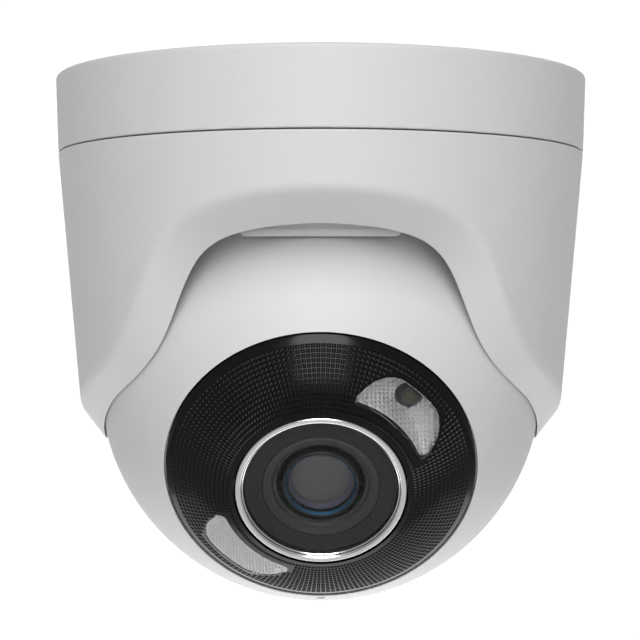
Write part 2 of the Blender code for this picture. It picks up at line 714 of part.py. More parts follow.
def make_lens(parts, ball):
    profile = [
        (6.9 * MM, 39.9 * MM), (BARREL_RADIUS, 39.5 * MM), (BARREL_RADIUS, 28.5 * MM),
        (6.0 * MM, 28.5 * MM), (6.0 * MM, 20.6 * MM), (4.6 * MM, 20.6 * MM), (4.6 * MM, 30.0 * MM),
        (5.5 * MM, 33.0 * MM), (5.5 * MM, 37.7 * MM), (6.8 * MM, 37.7 * MM),
    ]
    in_ball(turned("lens_barrel", profile, "black_plastic", parts, 24), ball)
    front = [(0.0, 40.4 * MM), (3.4 * MM, 40.1 * MM), (6.4 * MM, 39.3 * MM), (6.4 * MM, 38.0 * MM),
             (0.0, 38.0 * MM)]
    in_ball(turned("front_lens", front, "glass", parts, 24, ring=False), ball)
    rear = [(0.0, 24.4 * MM), (4.3 * MM, 23.6 * MM), (4.3 * MM, 21.6 * MM), (0.0, 21.2 * MM)]
    in_ball(turned("rear_lens", rear, "glass", parts, 24, ring=False), ball)


def make_lens_mount(parts, tools, ball):
    """The lens holder: a tube for the barrel on a box that the day and night filter slides in."""
    mount = boxes("lens_mount", [((*MOUNT_SIZE, MOUNT_HIGH - MOUNT_LOW),
                                  (0.0, 0.0, (MOUNT_HIGH + MOUNT_LOW) / 2))], "black_plastic", parts)
    in_ball(mount, ball)
    tube = [(0.0, 27.5 * MM), (8.0 * MM, 27.5 * MM), (8.0 * MM, 19.0 * MM), (0.0, 19.0 * MM)]
    join(mount, in_ball(turned("mount_tube", tube, "black_plastic", tools, 24, ring=False), ball))
    bore = [(0.0, 30 * MM), (6.3 * MM, 30 * MM), (6.3 * MM, 20.3 * MM), (4.4 * MM, 20.3 * MM),
            (4.4 * MM, 17.0 * MM), (0.0, 17.0 * MM)]
    cut(mount, in_ball(turned("mount_bore", bore, "black_plastic", tools, 24, ring=False), ball))
    length = FILTER_SIZE[0] + FILTER_TRAVEL + 2 * GAP
    slot = ((length, FILTER_SIZE[1] + 2 * GAP, FILTER_SIZE[2] + 2 * GAP),
            (0.0, 0.0, FILTER_LOW + FILTER_SIZE[2] / 2))
    cut(mount, in_ball(boxes("filter_slot", [slot], "black_plastic", tools), ball))
    well = ((11.0 * MM, 9.0 * MM, 4.0 * MM), (0.0, 0.0, MOUNT_LOW))
    cut(mount, in_ball(boxes("sensor_well", [well], "black_plastic", tools), ball))


def make_filter(parts, tools, ball):
    """The slider holds two panes; at rest the infrared filter is over the sensor."""
    centre_x = -FILTER_TRAVEL / 2
    centre = (centre_x, 0.0, FILTER_LOW + FILTER_SIZE[2] / 2)
    slider = in_ball(boxes("filter_slider", [(FILTER_SIZE, centre)], "black_plastic", parts), ball)
    pane = 5.6 * MM
    holes = []
    for x, name, finish in ((0.0, "infrared_filter", "filter_red"), (-FILTER_TRAVEL, "clear_pane", "glass")):
        place = (x, 0.0, centre[2])
        holes.append(((pane, 8.0 * MM, 3.0 * MM), place))
        size = (pane - 2 * GAP, 8.0 * MM - 2 * GAP, 0.5 * MM)
        in_ball(boxes(name, [(size, place)], finish, parts), ball)
    cut(slider, in_ball(boxes("pane_holes", holes, "black_plastic", tools), ball))
    motor = ((6.0 * MM, 9.0 * MM, 6.0 * MM), (-11.8 * MM, 0.0, 23.6 * MM))
    in_ball(boxes("filter_motor", [motor], "brass", parts), ball)


def make_sensor_board(parts, tools, ball):
    board = ((46 * MM, 32 * MM, BOARD), (0.0, 0.0, SENSOR_BOARD_TOP - BOARD / 2))
    sensor_board = in_ball(boxes("sensor_board", [board], "board_green", parts), ball)
    sensor = ((8.0 * MM, 6.4 * MM, 0.8 * MM), (0.0, 0.0, SENSOR_BOARD_TOP + GAP + 0.4 * MM))
    in_ball(boxes("image_sensor", [sensor], "aluminium", parts), ball)
    holes = []
    for count, (x, y) in enumerate(STANDOFFS, 1):
        holes.append((1.4 * MM, (x, y, 10 * MM), (x, y, 20 * MM)))
        make_standoff(count, x, y, parts, ball)
        top = (x, y, SENSOR_BOARD_TOP + GAP)
        board_screw = screw(f"sensor_board_screw_{count}", top, math.pi, 1.0 * MM, 1.9 * MM, parts)
        in_ball(board_screw, ball)
    cut(sensor_board, in_ball(rods("sensor_board_holes", holes, "board_green", tools, 12), ball))


def make_standoff(count, x, y, parts, ball):
    """A six-sided pillar between the boards, with a stud that screws into the rear shell's post."""
    high = SENSOR_BOARD_TOP - BOARD - GAP
    low = MAIN_BOARD_TOP + GAP
    stud_end = MAIN_BOARD_TOP - BOARD - 4.0 * MM
    profile = [(0.0, high), (2.4 * MM, high), (2.4 * MM, low), (1.0 * MM, low),
               (1.0 * MM, stud_end), (0.0, stud_end)]
    pillar = turned(f"standoff_{count}", profile, "brass", parts, 6, ring=False)
    pillar.location = (x, y, 0.0)
    in_ball(pillar, ball)


def make_led_board(parts, ball):
    low = LED_BOARD_TOP - BOARD
    edge, bore = 25.9 * MM, 11.0 * MM
    profile = [(edge, LED_BOARD_TOP), (edge, low), (bore, low), (bore, LED_BOARD_TOP)]
    in_ball(turned("led_board", profile, "board_green", parts, MEDIUM), ball)


def make_main_board(parts, tools, ball):
    low = MAIN_BOARD_TOP - BOARD
    disc = [(0.0, MAIN_BOARD_TOP), (32.5 * MM, MAIN_BOARD_TOP), (32.5 * MM, low), (0.0, low)]
    board = in_ball(turned("main_board", disc, "board_green", parts, MEDIUM, ring=False), ball)
    holes = [(1.4 * MM, (x, y, MAIN_BOARD_TOP + MM), (x, y, low - MM)) for x, y in STANDOFFS]
    cut(board, in_ball(rods("main_board_holes", holes, "board_green", tools, 12), ball))
    chip = ((15 * MM, 15 * MM, 1.2 * MM), (0.0, 4 * MM, low - GAP - 0.6 * MM))
    in_ball(boxes("processor", [chip], "black_plastic", parts), ball)
    make_heat_sink(low - 2 * GAP - 1.2 * MM, parts, tools, ball)
    plug = ((10 * MM, 5 * MM, 5 * MM), (0.0, 22 * MM, MAIN_BOARD_TOP + GAP + 2.5 * MM))
    in_ball(boxes("cable_header", [plug], "clear_plastic", parts), ball)


def make_heat_sink(top, parts, tools, ball):
    block = ((24 * MM, 24 * MM, 9 * MM), (0.0, 4 * MM, top - 4.5 * MM))
    sink = in_ball(boxes("heat_sink", [block], "aluminium", parts), ball)
    channels = []
    for step in range(5):
        x = (step - 2) * 4.6 * MM
        channels.append(((2.4 * MM, 30 * MM, 9 * MM), (x, 4 * MM, top - 6.5 * MM)))
    cut(sink, in_ball(boxes("sink_channels", channels, "aluminium", tools), ball))


def make_card_side(parts, tools, ball):
    """The card socket and the reset switch sit behind the hatch, on the main board's lower edge."""
    low = MAIN_BOARD_TOP - BOARD - GAP
    socket = ((12 * MM, 13 * MM, 1.8 * MM), (-2.0 * MM, -22.5 * MM, low - 0.9 * MM))
    holder = in_ball(boxes("card_socket", [socket], "steel", parts), ball)
    slot = ((10.6 * MM, 13 * MM, 0.9 * MM), (-2.0 * MM, -23.8 * MM, low - 0.9 * MM))
    cut(holder, in_ball(boxes("card_slot", [slot], "steel", tools), ball))
    centre = Vector((8.0 * MM, -26.0 * MM, low - 1.8 * MM))
    switch = in_ball(boxes("reset_switch", [((4.5 * MM, 4.0 * MM, 3.6 * MM), centre)],
                           "black_plastic", parts), ball)
    mouth = centre - Vector((0.0, 2.0 * MM, 0.0))
    well = [(1.1 * MM, mouth + Vector((0.0, 1.9 * MM, 0.0)), mouth - Vector((0.0, MM, 0.0)))]
    cut(switch, in_ball(rods("button_well", well, "black_plastic", tools, 12), ball))
    inner_end = mouth + Vector((0.0, 1.9 * MM - BUTTON_TRAVEL - 0.2 * MM, 0.0))
    button = [(0.8 * MM, inner_end, mouth - Vector((0.0, 1.6 * MM, 0.0)))]
    in_ball(rods("reset_button", button, "clear_plastic", parts, 12), ball)


# ---------------------------------------------------------------- assembly

def main():
    clear_scene()
    parts = collection("dome_camera")
    tools = collection("cutters")
    ball = bpy.data.objects.new("ball_axes", None)
    ball.location = (0.0, 0.0, BALL_Z)
    ball.rotation_euler = (math.radians(90.0 + REST_TILT), 0.0, 0.0)
    parts.objects.link(ball)
    make_mount_base(parts, tools)
    make_cable_grommet(parts)
    make_pan_ring(parts, tools)
    make_collar(parts, tools)
    make_clamp_frame(parts, tools)
    make_lock_screw(parts)
    make_front_shell(parts, tools, ball)
    make_microphone(parts, ball)
    make_rear_shell(parts, tools, ball)
    make_hatch(parts, tools, ball)
    make_shell_seal(parts, ball)
    make_shell_screws(parts, ball)
    make_cable_gland(parts, ball)
    make_face_cover(parts, tools, ball)
    for side, angle in LAMP_ANGLES.items():
        make_lamp(side, angle, parts, tools, ball)
    make_lens_bezel(parts, ball)
    make_window(parts, ball)
    make_lens(parts, ball)
    make_lens_mount(parts, tools, ball)
    make_filter(parts, tools, ball)
    make_sensor_board(parts, tools, ball)
    make_led_board(parts, ball)
    make_main_board(parts, tools, ball)
    make_card_side(parts, tools, ball)


main()
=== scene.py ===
"""Looks of a ceiling security camera: a ball with a black face turning in a tapered white housing.

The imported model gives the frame. This script builds the smooth pieces around it, in metres.
Inside the ball, "s" is a distance from its centre along the optical axis and "a" one from that axis.
"""

import json
import math

import bmesh
import bpy
from mathutils import Matrix, Vector


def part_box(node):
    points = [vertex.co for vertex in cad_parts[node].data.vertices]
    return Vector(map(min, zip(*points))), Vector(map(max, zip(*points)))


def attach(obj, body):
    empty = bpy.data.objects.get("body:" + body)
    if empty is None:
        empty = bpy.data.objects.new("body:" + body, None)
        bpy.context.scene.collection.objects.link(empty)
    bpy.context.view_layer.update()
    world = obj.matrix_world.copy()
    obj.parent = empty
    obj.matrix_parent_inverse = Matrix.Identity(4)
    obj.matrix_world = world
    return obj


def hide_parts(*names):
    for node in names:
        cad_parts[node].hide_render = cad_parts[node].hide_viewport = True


bl_info = {
    "name": "Ceiling Security Camera",
    "version": (1, 0, 0),
    "blender": (4, 5, 0),
    "location": "View3D > Sidebar > Ceiling Camera",
    "description": "Builds the fine pieces and finishes of a ceiling security camera",
    "category": "Object",
}

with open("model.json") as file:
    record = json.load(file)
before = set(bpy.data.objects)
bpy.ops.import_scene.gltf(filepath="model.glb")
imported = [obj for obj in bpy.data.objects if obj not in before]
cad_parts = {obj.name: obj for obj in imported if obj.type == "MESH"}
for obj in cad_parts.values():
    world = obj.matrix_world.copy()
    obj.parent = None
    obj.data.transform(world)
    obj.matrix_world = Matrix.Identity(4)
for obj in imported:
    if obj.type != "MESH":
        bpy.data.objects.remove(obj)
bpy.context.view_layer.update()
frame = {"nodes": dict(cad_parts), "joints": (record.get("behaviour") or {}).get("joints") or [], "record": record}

MM = 0.001
TURN = math.tau

# Places that come from the frame
ROLL = next(joint for joint in frame["joints"] if joint["name"] == "roll")
BALL_CENTRE = Vector(ROLL["pos_m"])
AXIS = Vector(ROLL["axis"]).normalized()
SIDE = Vector((1.0, 0.0, 0.0))
BALL = Matrix.Translation(BALL_CENTRE) @ Matrix((SIDE, AXIS.cross(SIDE), AXIS)).transposed().to_4x4()
BASE_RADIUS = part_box("mount_base")[1].x
COLLAR_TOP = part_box("collar_shell")[1].z
BALL_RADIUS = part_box("front_shell")[1].x

# Base
POST_CIRCLE = 41.5 * MM
CEILING_HOLE_CIRCLE = 33 * MM
CABLE_HOLE = Vector((0, 24 * MM, 0))

# Housing
SEAM_GAP = 0.3 * MM
RIM_RADIUS = BASE_RADIUS - 0.53 * MM
COLLAR_SLOPE = 0.0902
FLANGE = 2.6 * MM
FLANGE_BORE = 46.5 * MM
LOCK_SCREW_Z = -58 * MM
SEAT_RADIUS = BALL_RADIUS + 0.4 * MM
# Heights, in millimetres below the ceiling, of the opening's outer and inner edge at some
# azimuths from the front.
OUTER_EDGE = ((0, 26.5), (11, 27.0), (22.6, 29.1), (31.3, 32.7), (36.5, 37.5), (40, 43.2), (45, 50.2),
              (53.1, 56.7), (66.7, 61.6), (76.8, 65.1), (92, 68.8), (110, 69.0), (180, 69.0))
INNER_EDGE = ((0, 32.6), (11.7, 33.2), (22.8, 35.05), (30.4, 38.9), (35.1, 45.5), (40.2, 54.1),
              (49.2, 60.8), (63.9, 66.5), (73.4, 70.4), (84, 74.5), (92, 74.9), (110, 74.9), (180, 74.9))

BAND = (15, 25)  # first and last point of a section on the smooth band of the opening

# Face
FACE_RADIUS = 30.05 * MM
FACE_DOME = BALL_RADIUS - 0.3 * MM
FACE_THICK = 1.7 * MM
BEZEL_RADIUS = 16.6 * MM
BEZEL_BORE = 14.9 * MM
GLASS_TOP = 41.6 * MM
BARREL_RADIUS = 7.57 * MM
LAMP_LOWER = -135.0
LAMPS = {"upper": 45.0, "lower": LAMP_LOWER}
LAMP_INNER = 19.45 * MM
LAMP_OUTER = 26.6 * MM
LAMP_SPAN = 24.0
LAMP_CENTRE = 23.3 * MM
LED_BOARD_TOP = 30.3 * MM
MIC_ANGLE = 44.4

# Rear of the ball
SHELL_INSIDE = 43.4 * MM
SHELL_SPLIT = 0.9 * MM
GLAND_RADIUS = 6.0 * MM
HATCH_SEAT = 43.5 * MM
HATCH_SCREW = 8.0 * MM
HATCH_ANGLE = 110.0
SHELL_SCREW_CIRCLE = 39.6 * MM
SCREW_SEAT = -17.0 * MM
THIRDS = (90, 210, 330)

# Finishes and stage
MOSAIC_PITCH = 0.8 * MM
SMUDGE = 2.5 * MM
FLOOR_RADIUS = 1.6
FLOOR_Z = -0.62
AIM = (0.0, 0.0, -0.055)
VIEW_LENS = 110.35
VIEW_PLACE = (-0.00016, -0.4106, -0.05386)
VIEW_TILT = math.radians(90.53)


# ---------------------------------------------------------------- what a user may change

class CameraSizes(bpy.types.PropertyGroup):
    """Sizes that can be changed without moving a joint or a fit."""

    edge_round: bpy.props.FloatProperty(
        name="Lip rounding", description="How far the rounding of the housing's lower edge reaches",
        default=1.4 * MM, unit="LENGTH", precision=5)
    collar_wall: bpy.props.FloatProperty(
        name="Housing wall", description="Wall thickness of the tapered housing",
        default=2.6 * MM, unit="LENGTH", precision=5)
    dimple_columns: bpy.props.IntProperty(
        name="Dimple columns", description="Dimples in one ring of the black face", default=180)
    dimple_rings: bpy.props.IntProperty(
        name="Dimple rings", description="Rings of dimples between bezel and margin", default=14)
    dimple_depth: bpy.props.FloatProperty(
        name="Dimple depth", description="Depth of a dimple of the black face",
        default=0.22 * MM, unit="LENGTH", precision=5)
    prism_pitch: bpy.props.FloatProperty(
        name="Bead pitch", description="Spacing of the beads on the frosted lamp window",
        default=0.64 * MM, unit="LENGTH", precision=5)
    grain: bpy.props.FloatProperty(
        name="Coating grain", description="Grain spacing of the white powder coat",
        default=0.42 * MM, unit="LENGTH", precision=5)


class CameraColours(bpy.types.PropertyGroup):
    """Main colours, as sRGB hex text."""

    white: bpy.props.StringProperty(
        name="Housing white", description="Powder coat of the housing and the ball", default="EFEFEF")
    black: bpy.props.StringProperty(
        name="Face black", description="Acrylic of the face", default="0B0B0C")
    gasket: bpy.props.StringProperty(
        name="Gasket grey", description="Foam round the lens", default="303032")
    phosphor: bpy.props.StringProperty(
        name="Lamp yellow", description="Phosphor of the lamps", default="45421E")
    backdrop: bpy.props.StringProperty(
        name="Backdrop", description="Paper of the floor", default="F4F4F4")


# ---------------------------------------------------------------- small tools

def linear(text):
    """Linear colour from sRGB hex."""
    found = []
    for place in (0, 2, 4):
        value = int(text[place:place + 2], 16) / 255
        found.append(value / 12.92 if value <= 0.04045 else ((value + 0.055) / 1.055) ** 2.4)
    return (*found, 1.0)


def mm(*points):
    """A list of points given in millimetres, in metres."""
    return [tuple(value * MM for value in point) for point in points]


def polar(radius, degrees, height=0.0):
    angle = math.radians(degrees)
    return Vector((radius * math.cos(angle), radius * math.sin(angle), height))


def arc(radius, start, end, steps):
    """Points of (a, s) on a sphere about the ball's centre, the angle measured from the axis."""
    found = []
    for step in range(steps + 1):
        angle = start + (end - start) * step / steps
        found.append((radius * math.sin(angle), radius * math.cos(angle)))
    return found


def smooth_at(points, x):
    """A curve through the points that never overshoots them."""
    slopes = [(y1 - y0) / (x1 - x0) for (x0, y0), (x1, y1) in zip(points, points[1:])]
    tangents = [0.0]
    for before, after in zip(slopes, slopes[1:]):
        tangents.append(0.0 if before * after <= 0 else 2 * before * after / (before + after))
    tangents.append(0.0)
    place = min(max(sum(1 for px, _ in points if px <= x) - 1, 0), len(points) - 2)
    (x0, y0), (x1, y1) = points[place], points[place + 1]
    span = x1 - x0
    t = (x - x0) / span
    rise = (2 * t**3 - 3 * t**2 + 1) * y0 + (3 * t**2 - 2 * t**3) * y1
    lean = (t**3 - 2 * t**2 + t) * tangents[place] + (t**3 - t**2) * tangents[place + 1]
    return rise + lean * span


def edge_height(points, degrees):
    """Height of an edge of the opening, averaged over a few degrees so that it has no kinks."""
    total = 0.0
    weights = 0.0
    for step in range(-4, 5):
        weight = 5 - abs(step)
        total += weight * smooth_at(points, min(abs(degrees + step * 1.1), 180.0))
        weights += weight
    return -total / weights * MM


def rounded(points, reach, closed=True, steps=4, hold=0.12 * MM):
    """The outline with its corners rounded, and a point held close on each side of a rounding.

    reach is how far from the corner the rounding starts: one value, or one for each point.
    """
    count = len(points)
    found = []
    for index, point in enumerate(points):
        here = Vector(point)
        far = reach[index] if isinstance(reach, (list, tuple)) else reach
        if far == 0.0 or (not closed and index in (0, count - 1)):
            found.append(tuple(here))
            continue
        back = Vector(points[index - 1]) - here
        ahead = Vector(points[(index + 1) % count]) - here
        near = min(far, back.length * 0.46, ahead.length * 0.46)
        first, last = here + back.normalized() * near, here + ahead.normalized() * near
        if back.length > 2 * near + 2 * hold:
            found.append(tuple(first + back.normalized() * hold))
        for step in range(steps + 1):
            t = step / steps
            found.append(tuple(first * (1 - t) ** 2 + here * 2 * t * (1 - t) + last * t**2))
        if ahead.length > 2 * near + 2 * hold:
            found.append(tuple(last + ahead.normalized() * hold))
    return found


def spun(profile, steps=192, closed=True):
    """A bmesh turned from a profile of (a, s) points."""
    bm = bmesh.new()
    verts = [bm.verts.new((a, 0.0, s)) for a, s in profile]
    edges = [bm.edges.new(pair) for pair in zip(verts, verts[1:])]
    if closed:
        edges.append(bm.edges.new((verts[-1], verts[0])))
    bmesh.ops.spin(bm, geom=verts + edges, cent=(0, 0, 0), axis=(0, 0, 1), angle=TURN, steps=steps,
                   use_merge=True)
    bmesh.ops.remove_doubles(bm, verts=bm.verts, dist=1e-7)
    bmesh.ops.recalc_face_normals(bm, faces=bm.faces)
    return bm


def block(bm, size, centre):
    """Adds a box to a bmesh."""
    bmesh.ops.create_cube(bm, size=1.0, matrix=Matrix.Translation(centre) @ Matrix.Diagonal((*size, 1.0)))


def rod(bm, radius, start, end, segments=48, end_radius=None):
    """Adds a cylinder or a cone to a bmesh."""
    start, end = Vector(start), Vector(end)
    along = end - start
    place = Matrix.Translation((start + end) / 2) @ along.to_track_quat("Z", "Y").to_matrix().to_4x4()
    last = radius if end_radius is None else end_radius
    bmesh.ops.create_cone(bm, cap_ends=True, segments=segments, radius1=radius, radius2=last,
                          depth=along.length, matrix=place)


def prism(outline, low, high):
    """A bmesh of a flat outline extruded between two heights."""
    bm = bmesh.new()
    face = bm.faces.new([bm.verts.new((x, y, low)) for x, y in outline])
    grown = bmesh.ops.extrude_face_region(bm, geom=[face])["geom"]
    verts = [part for part in grown if isinstance(part, bmesh.types.BMVert)]
    bmesh.ops.translate(bm, verts=verts, vec=(0.0, 0.0, high - low))
    bmesh.ops.recalc_face_normals(bm, faces=bm.faces)
    return bm


def round_edges(bm, width):
    """Rounds every edge of a bmesh that turns by more than 35 degrees."""
    sharp = [edge for edge in bm.edges if edge.is_manifold
             and edge.calc_face_angle() > math.radians(35.0)]
    bmesh.ops.bevel(bm, geom=sharp, offset=width, offset_type="OFFSET", affect="EDGES",
                    segments=3, profile=0.5, material=-1, clamp_overlap=True)


def to_object(bm, name, matrix=None):
    """A linked object from a bmesh, with the place in its mesh."""
    if matrix:
        bmesh.ops.transform(bm, matrix=matrix, verts=bm.verts)
    mesh = bpy.data.meshes.new(name)
    bm.to_mesh(mesh)
    bm.free()
    made = bpy.data.objects.new(name, mesh)
    bpy.context.scene.collection.objects.link(made)
    return made


def combine(obj, tool, operation):
    """Applies a Boolean with another bmesh, given in the object's own space."""
    other = to_object(tool, "tool")
    step = obj.modifiers.new("Combine", "BOOLEAN")
    step.operation = operation
    step.object = other
    step.solver = "EXACT"
    graph = bpy.context.evaluated_depsgraph_get()
    result = bpy.data.meshes.new_from_object(obj.evaluated_get(graph))
    obj.modifiers.clear()
    obj.data = result
    bpy.data.objects.remove(other)


def cut(obj, *tools):
    """Takes each tool away from the object."""
    for tool in tools:
        combine(obj, tool, "DIFFERENCE")


def settle(obj, finish, body, replaced, matrix=None, sharp=38.0):
    """Shades a finished piece, gives it its finish, puts it in place on its body and hides the CAD pieces it
    replaces.
    """
    if matrix:
        obj.data.transform(matrix)
    obj.data.shade_smooth()
    obj.data.set_sharp_from_angle(angle=math.radians(sharp))
    obj.data.materials.clear()
    obj.data.materials.append(FINISHES[finish])
    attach(obj, body)
    if replaced:
        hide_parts(*replaced)


def turned(name, finish, nodes, outline, reach, steps, body="ball", place=BALL, closed=True):
    """A finished piece turned from an outline, with its corners rounded where a reach is given."""
    if reach:
        outline = rounded(outline, reach, closed=closed)
    settle(to_object(spun(outline, steps, closed), name), finish, body, nodes, place)


# ---------------------------------------------------------------- finishes

def add_node(tree, kind, inputs=None, **settings):
    """Adds one node with its settings, values and links."""
    made = tree.nodes.new(kind)
    for name, value in settings.items():
        setattr(made, name, value)
    for name, value in (inputs or {}).items():
        if isinstance(value, bpy.types.NodeSocket):
            tree.links.new(value, made.inputs[name])
        else:
            made.inputs[name].default_value = value
    return made


def surface(name, colour, **values):
    """A material with a Principled shader, its tree and object coordinates."""
    material = bpy.data.materials.new(name)
    material.use_nodes = True
    tree = material.node_tree
    shader = tree.nodes["Principled BSDF"]
    shader.inputs["Base Color"].default_value = colour
    for key, value in values.items():
        shader.inputs[key.replace("_", " ")].default_value = value
    where = add_node(tree, "ShaderNodeTexCoord").outputs["Object"]
    return material, tree, shader, where


def skin(tree, shader, where, spacing, gloss, depth=0.0, strength=0.6, detail=3.0):
    """Breaks up a surface with a noise of one spacing, in metres.

    gloss holds the two roughness values it runs between, and depth is the height of its relief.
    """
    noise = add_node(tree, "ShaderNodeTexNoise", {"Vector": where, "Scale": 1.0 / spacing, "Detail": detail,
                                                  "Roughness": 0.55 if depth else 0.5}).outputs["Fac"]
    if gloss:
        ranged = add_node(tree, "ShaderNodeMapRange", {"Value": noise, "From Min": 0.3, "From Max": 0.7,
                                                       "To Min": gloss[0], "To Max": gloss[1]})
        tree.links.new(ranged.outputs["Result"], shader.inputs["Roughness"])
    if depth:
        bump = add_node(tree, "ShaderNodeBump", {"Height": noise, "Distance": depth, "Strength": strength})
        tree.links.new(bump.outputs["Normal"], shader.inputs["Normal"])


def shade(colour, factor):
    return (*(min(1.0, value * factor) for value in colour[:3]), 1.0)


def powder_coat(colour, spacing):
    """White polyester powder coat on die-cast aluminium: a soft sheen broken by a fine grain."""
    material, tree, shader, where = surface("Powder-coated aluminium", colour, Roughness=0.5, IOR=1.5)
    skin(tree, shader, where, spacing, (0.44, 0.56), 0.05 * MM, 0.85, 2.0)
    cloud = add_node(tree, "ShaderNodeTexNoise", {"Vector": where, "Scale": 1.0 / (9.0 * MM), "Detail": 4.0})
    mixed = add_node(tree, "ShaderNodeMix", {"Factor": cloud.outputs["Fac"], "A": colour,
                                             "B": shade(colour, 0.985)}, data_type="RGBA")
    tree.links.new(mixed.outputs["Result"], shader.inputs["Base Color"])
    return material


def smooth_white(colour):
    """White ABS of the retaining frame: moulded smooth, a little glossier than the housing."""
    material, tree, shader, where = surface("Moulded white ABS", colour, Roughness=0.38, IOR=1.54)
    skin(tree, shader, where, 0.8 * MM, (0.34, 0.42), 0.01 * MM, 0.3)
    return material


def face_black(colour):
    """Black acrylic, moulded against a polished tool: deep black with a clear gloss."""
    material, tree, shader, where = surface("Polished black acrylic", colour, Roughness=0.16, IOR=1.49,
                                            Specular_IOR_Level=0.3)
    skin(tree, shader, where, 1.4 * MM, (0.13, 0.19), 0.006 * MM, 0.25)
    return material


def matt_black(name, colour, roughness, spacing):
    """Black moulded plastic or anodised metal with a matt, faintly grained skin."""
    material, tree, shader, where = surface(name, colour, Roughness=roughness, IOR=1.5)
    skin(tree, shader, where, spacing * 2, (roughness - 0.05, roughness + 0.06), 0.004 * MM, 0.2, 1.0)
    return material


def metal(name, colour, roughness, spacing, depth):
    """A bare or plated metal, with fine marks of its making."""
    material, tree, shader, where = surface(name, colour, Metallic=1.0, Roughness=roughness)
    skin(tree, shader, where, spacing, (roughness * 0.8, roughness * 1.25), depth, 0.4)
    return material


def silvered(name, colour):
    """Satin silvered plastic moulded with a 0.8 mm mosaic of pillows: bright, with a broken gloss."""
    material, tree, shader, where = surface(name, colour, Metallic=0.12, Roughness=0.25)
    waves = [add_node(tree, "ShaderNodeTexWave", {"Vector": where, "Scale": math.pi / (10 * MOSAIC_PITCH)},
                      bands_direction=axis).outputs["Fac"] for axis in ("X", "Z")]
    mosaic = add_node(tree, "ShaderNodeMath", {0: waves[0], 1: waves[1]}, operation="MULTIPLY")
    bump = add_node(tree, "ShaderNodeBump", {"Height": mosaic.outputs["Value"], "Distance": 0.3 * MM,
                                             "Strength": 1.0})
    tree.links.new(bump.outputs["Normal"], shader.inputs["Normal"])
    return material


def clear(name, colour, ior, roughness, film=0.0):
    """Clear glass or plastic; film is the thickness of a coating in nanometres."""
    material, tree, shader, where = surface(name, colour, IOR=ior, Roughness=roughness)
    shader.inputs["Transmission Weight"].default_value = 1.0
    shader.inputs["Thin Film Thickness"].default_value = film
    skin(tree, shader, where, SMUDGE, (roughness, roughness + 0.02), detail=2.0)
    return material


def thin_glass(name, colour):
    """Flat coated glass seen as thin: nearly all light passes straight, a tenth is gloss and tint."""
    material, tree, shader, where = surface(name, colour, IOR=1.5, Roughness=0.02, Alpha=0.12,
                                            Specular_IOR_Level=1.0)
    skin(tree, shader, where, SMUDGE, (0.01, 0.03), detail=2.0)
    return material


def opal(name, colour, ior, roughness):
    """Milky plastic, moulded with a frosted skin: part of the light passes, the rest scatters."""
    material = clear(name, colour, ior, roughness)
    material.node_tree.nodes["Principled BSDF"].inputs["Transmission Weight"].default_value = 0.2
    return material


def circuit_board(colour):
    """Green solder mask over copper tracks: the tracks stand out as a paler, raised net."""
    material, tree, shader, where = surface("Solder mask", colour, Roughness=0.35, IOR=1.5)
    cells = add_node(tree, "ShaderNodeTexVoronoi", {"Vector": where, "Scale": 1.0 / (2.6 * MM)},
                     feature="DISTANCE_TO_EDGE", distance="MANHATTAN")
    track = add_node(tree, "ShaderNodeMapRange",
                     {"Value": cells.outputs["Distance"], "From Min": 0.05, "From Max": 0.09})
    mixed = add_node(tree, "ShaderNodeMix", {"Factor": track.outputs["Result"], "A": shade(colour, 2.2),
                                             "B": colour}, data_type="RGBA")
    tree.links.new(mixed.outputs["Result"], shader.inputs["Base Color"])
    bump = add_node(tree, "ShaderNodeBump", {"Height": track.outputs["Result"], "Distance": 0.04 * MM},
                    invert=True)
    tree.links.new(bump.outputs["Normal"], shader.inputs["Normal"])
    return material


def make_finishes(sizes, colours):
    """Every finish of the camera, by a short name."""
    white = linear(colours.white)
    found = {
        "white": powder_coat(white, sizes.grain),
        "white_smooth": smooth_white(white),
        "face": face_black(linear(colours.black)),
        "gasket": matt_black("Closed-cell foam", linear(colours.gasket), 0.8, 0.35 * MM),
        "baffle": matt_black("Matt black ABS", linear("3E3E3F"), 0.5, 0.5 * MM),
        "barrel": matt_black("Black anodised aluminium", linear("262628"), 0.32, 0.6 * MM),
        "rubber": matt_black("Moulded rubber", linear("1C1C1C"), 0.7, 0.7 * MM),
        "chrome": metal("Bright chrome plate", linear("F0F0F0"), 0.18, 0.9 * MM, 0.0006 * MM),
        "silvered": silvered("Vacuum-silvered plastic", linear("FFFFFF")),
        "steel": metal("Zinc-plated steel", linear("B9BABD"), 0.3, 0.4 * MM, 0.006 * MM),
        "brass": metal("Turned brass", linear("C9A24B"), 0.28, 0.3 * MM, 0.006 * MM),
        "aluminium": metal("Milled aluminium", linear("C4C5C8"), 0.36, 0.3 * MM, 0.008 * MM),
        "glass": thin_glass("Coated window glass", linear("101112")),
        "lens": clear("Coated lens glass", linear("F2F4FA"), 1.6, 0.0),
        "clear": clear("Clear polycarbonate", linear("FFFFFF"), 1.585, 0.02),
        "frosted": opal("Frosted polycarbonate", linear("D6D6D4"), 1.585, 0.32),
        "pupil": matt_black("Coated second element", linear("74706C"), 0.2, 1.2 * MM),
        # the blue of this ring is a painted reflection: it stands in for the blue glint of the lens coating
        "blue_reflection_ring": metal("Retaining ring with painted blue reflection", linear("3A6280"), 0.6, 0.8 * MM, 0.003 * MM),
        # the violet of this ring is a painted reflection: it stands in for the violet glint of the lens coating
        "violet_reflection_ring": metal("Spacer with painted violet reflection", linear("7C76A6"), 0.5, 0.8 * MM, 0.003 * MM),
        "filter": clear("Infrared-cut filter", linear("B06A70"), 1.5, 0.02, 500.0),
        "board": circuit_board(linear("1B5A36")),
        "phosphor": matt_black("Lamp phosphor", linear(colours.phosphor), 0.45, 0.2 * MM),
        "lamp_body": matt_black("Dark ceramic", linear("0E0E0E"), 0.5, 0.3 * MM),
    }
    # the coating takes most of the reflection away
    found["lens"].node_tree.nodes["Principled BSDF"].inputs["Specular IOR Level"].default_value = 0.2
    return found


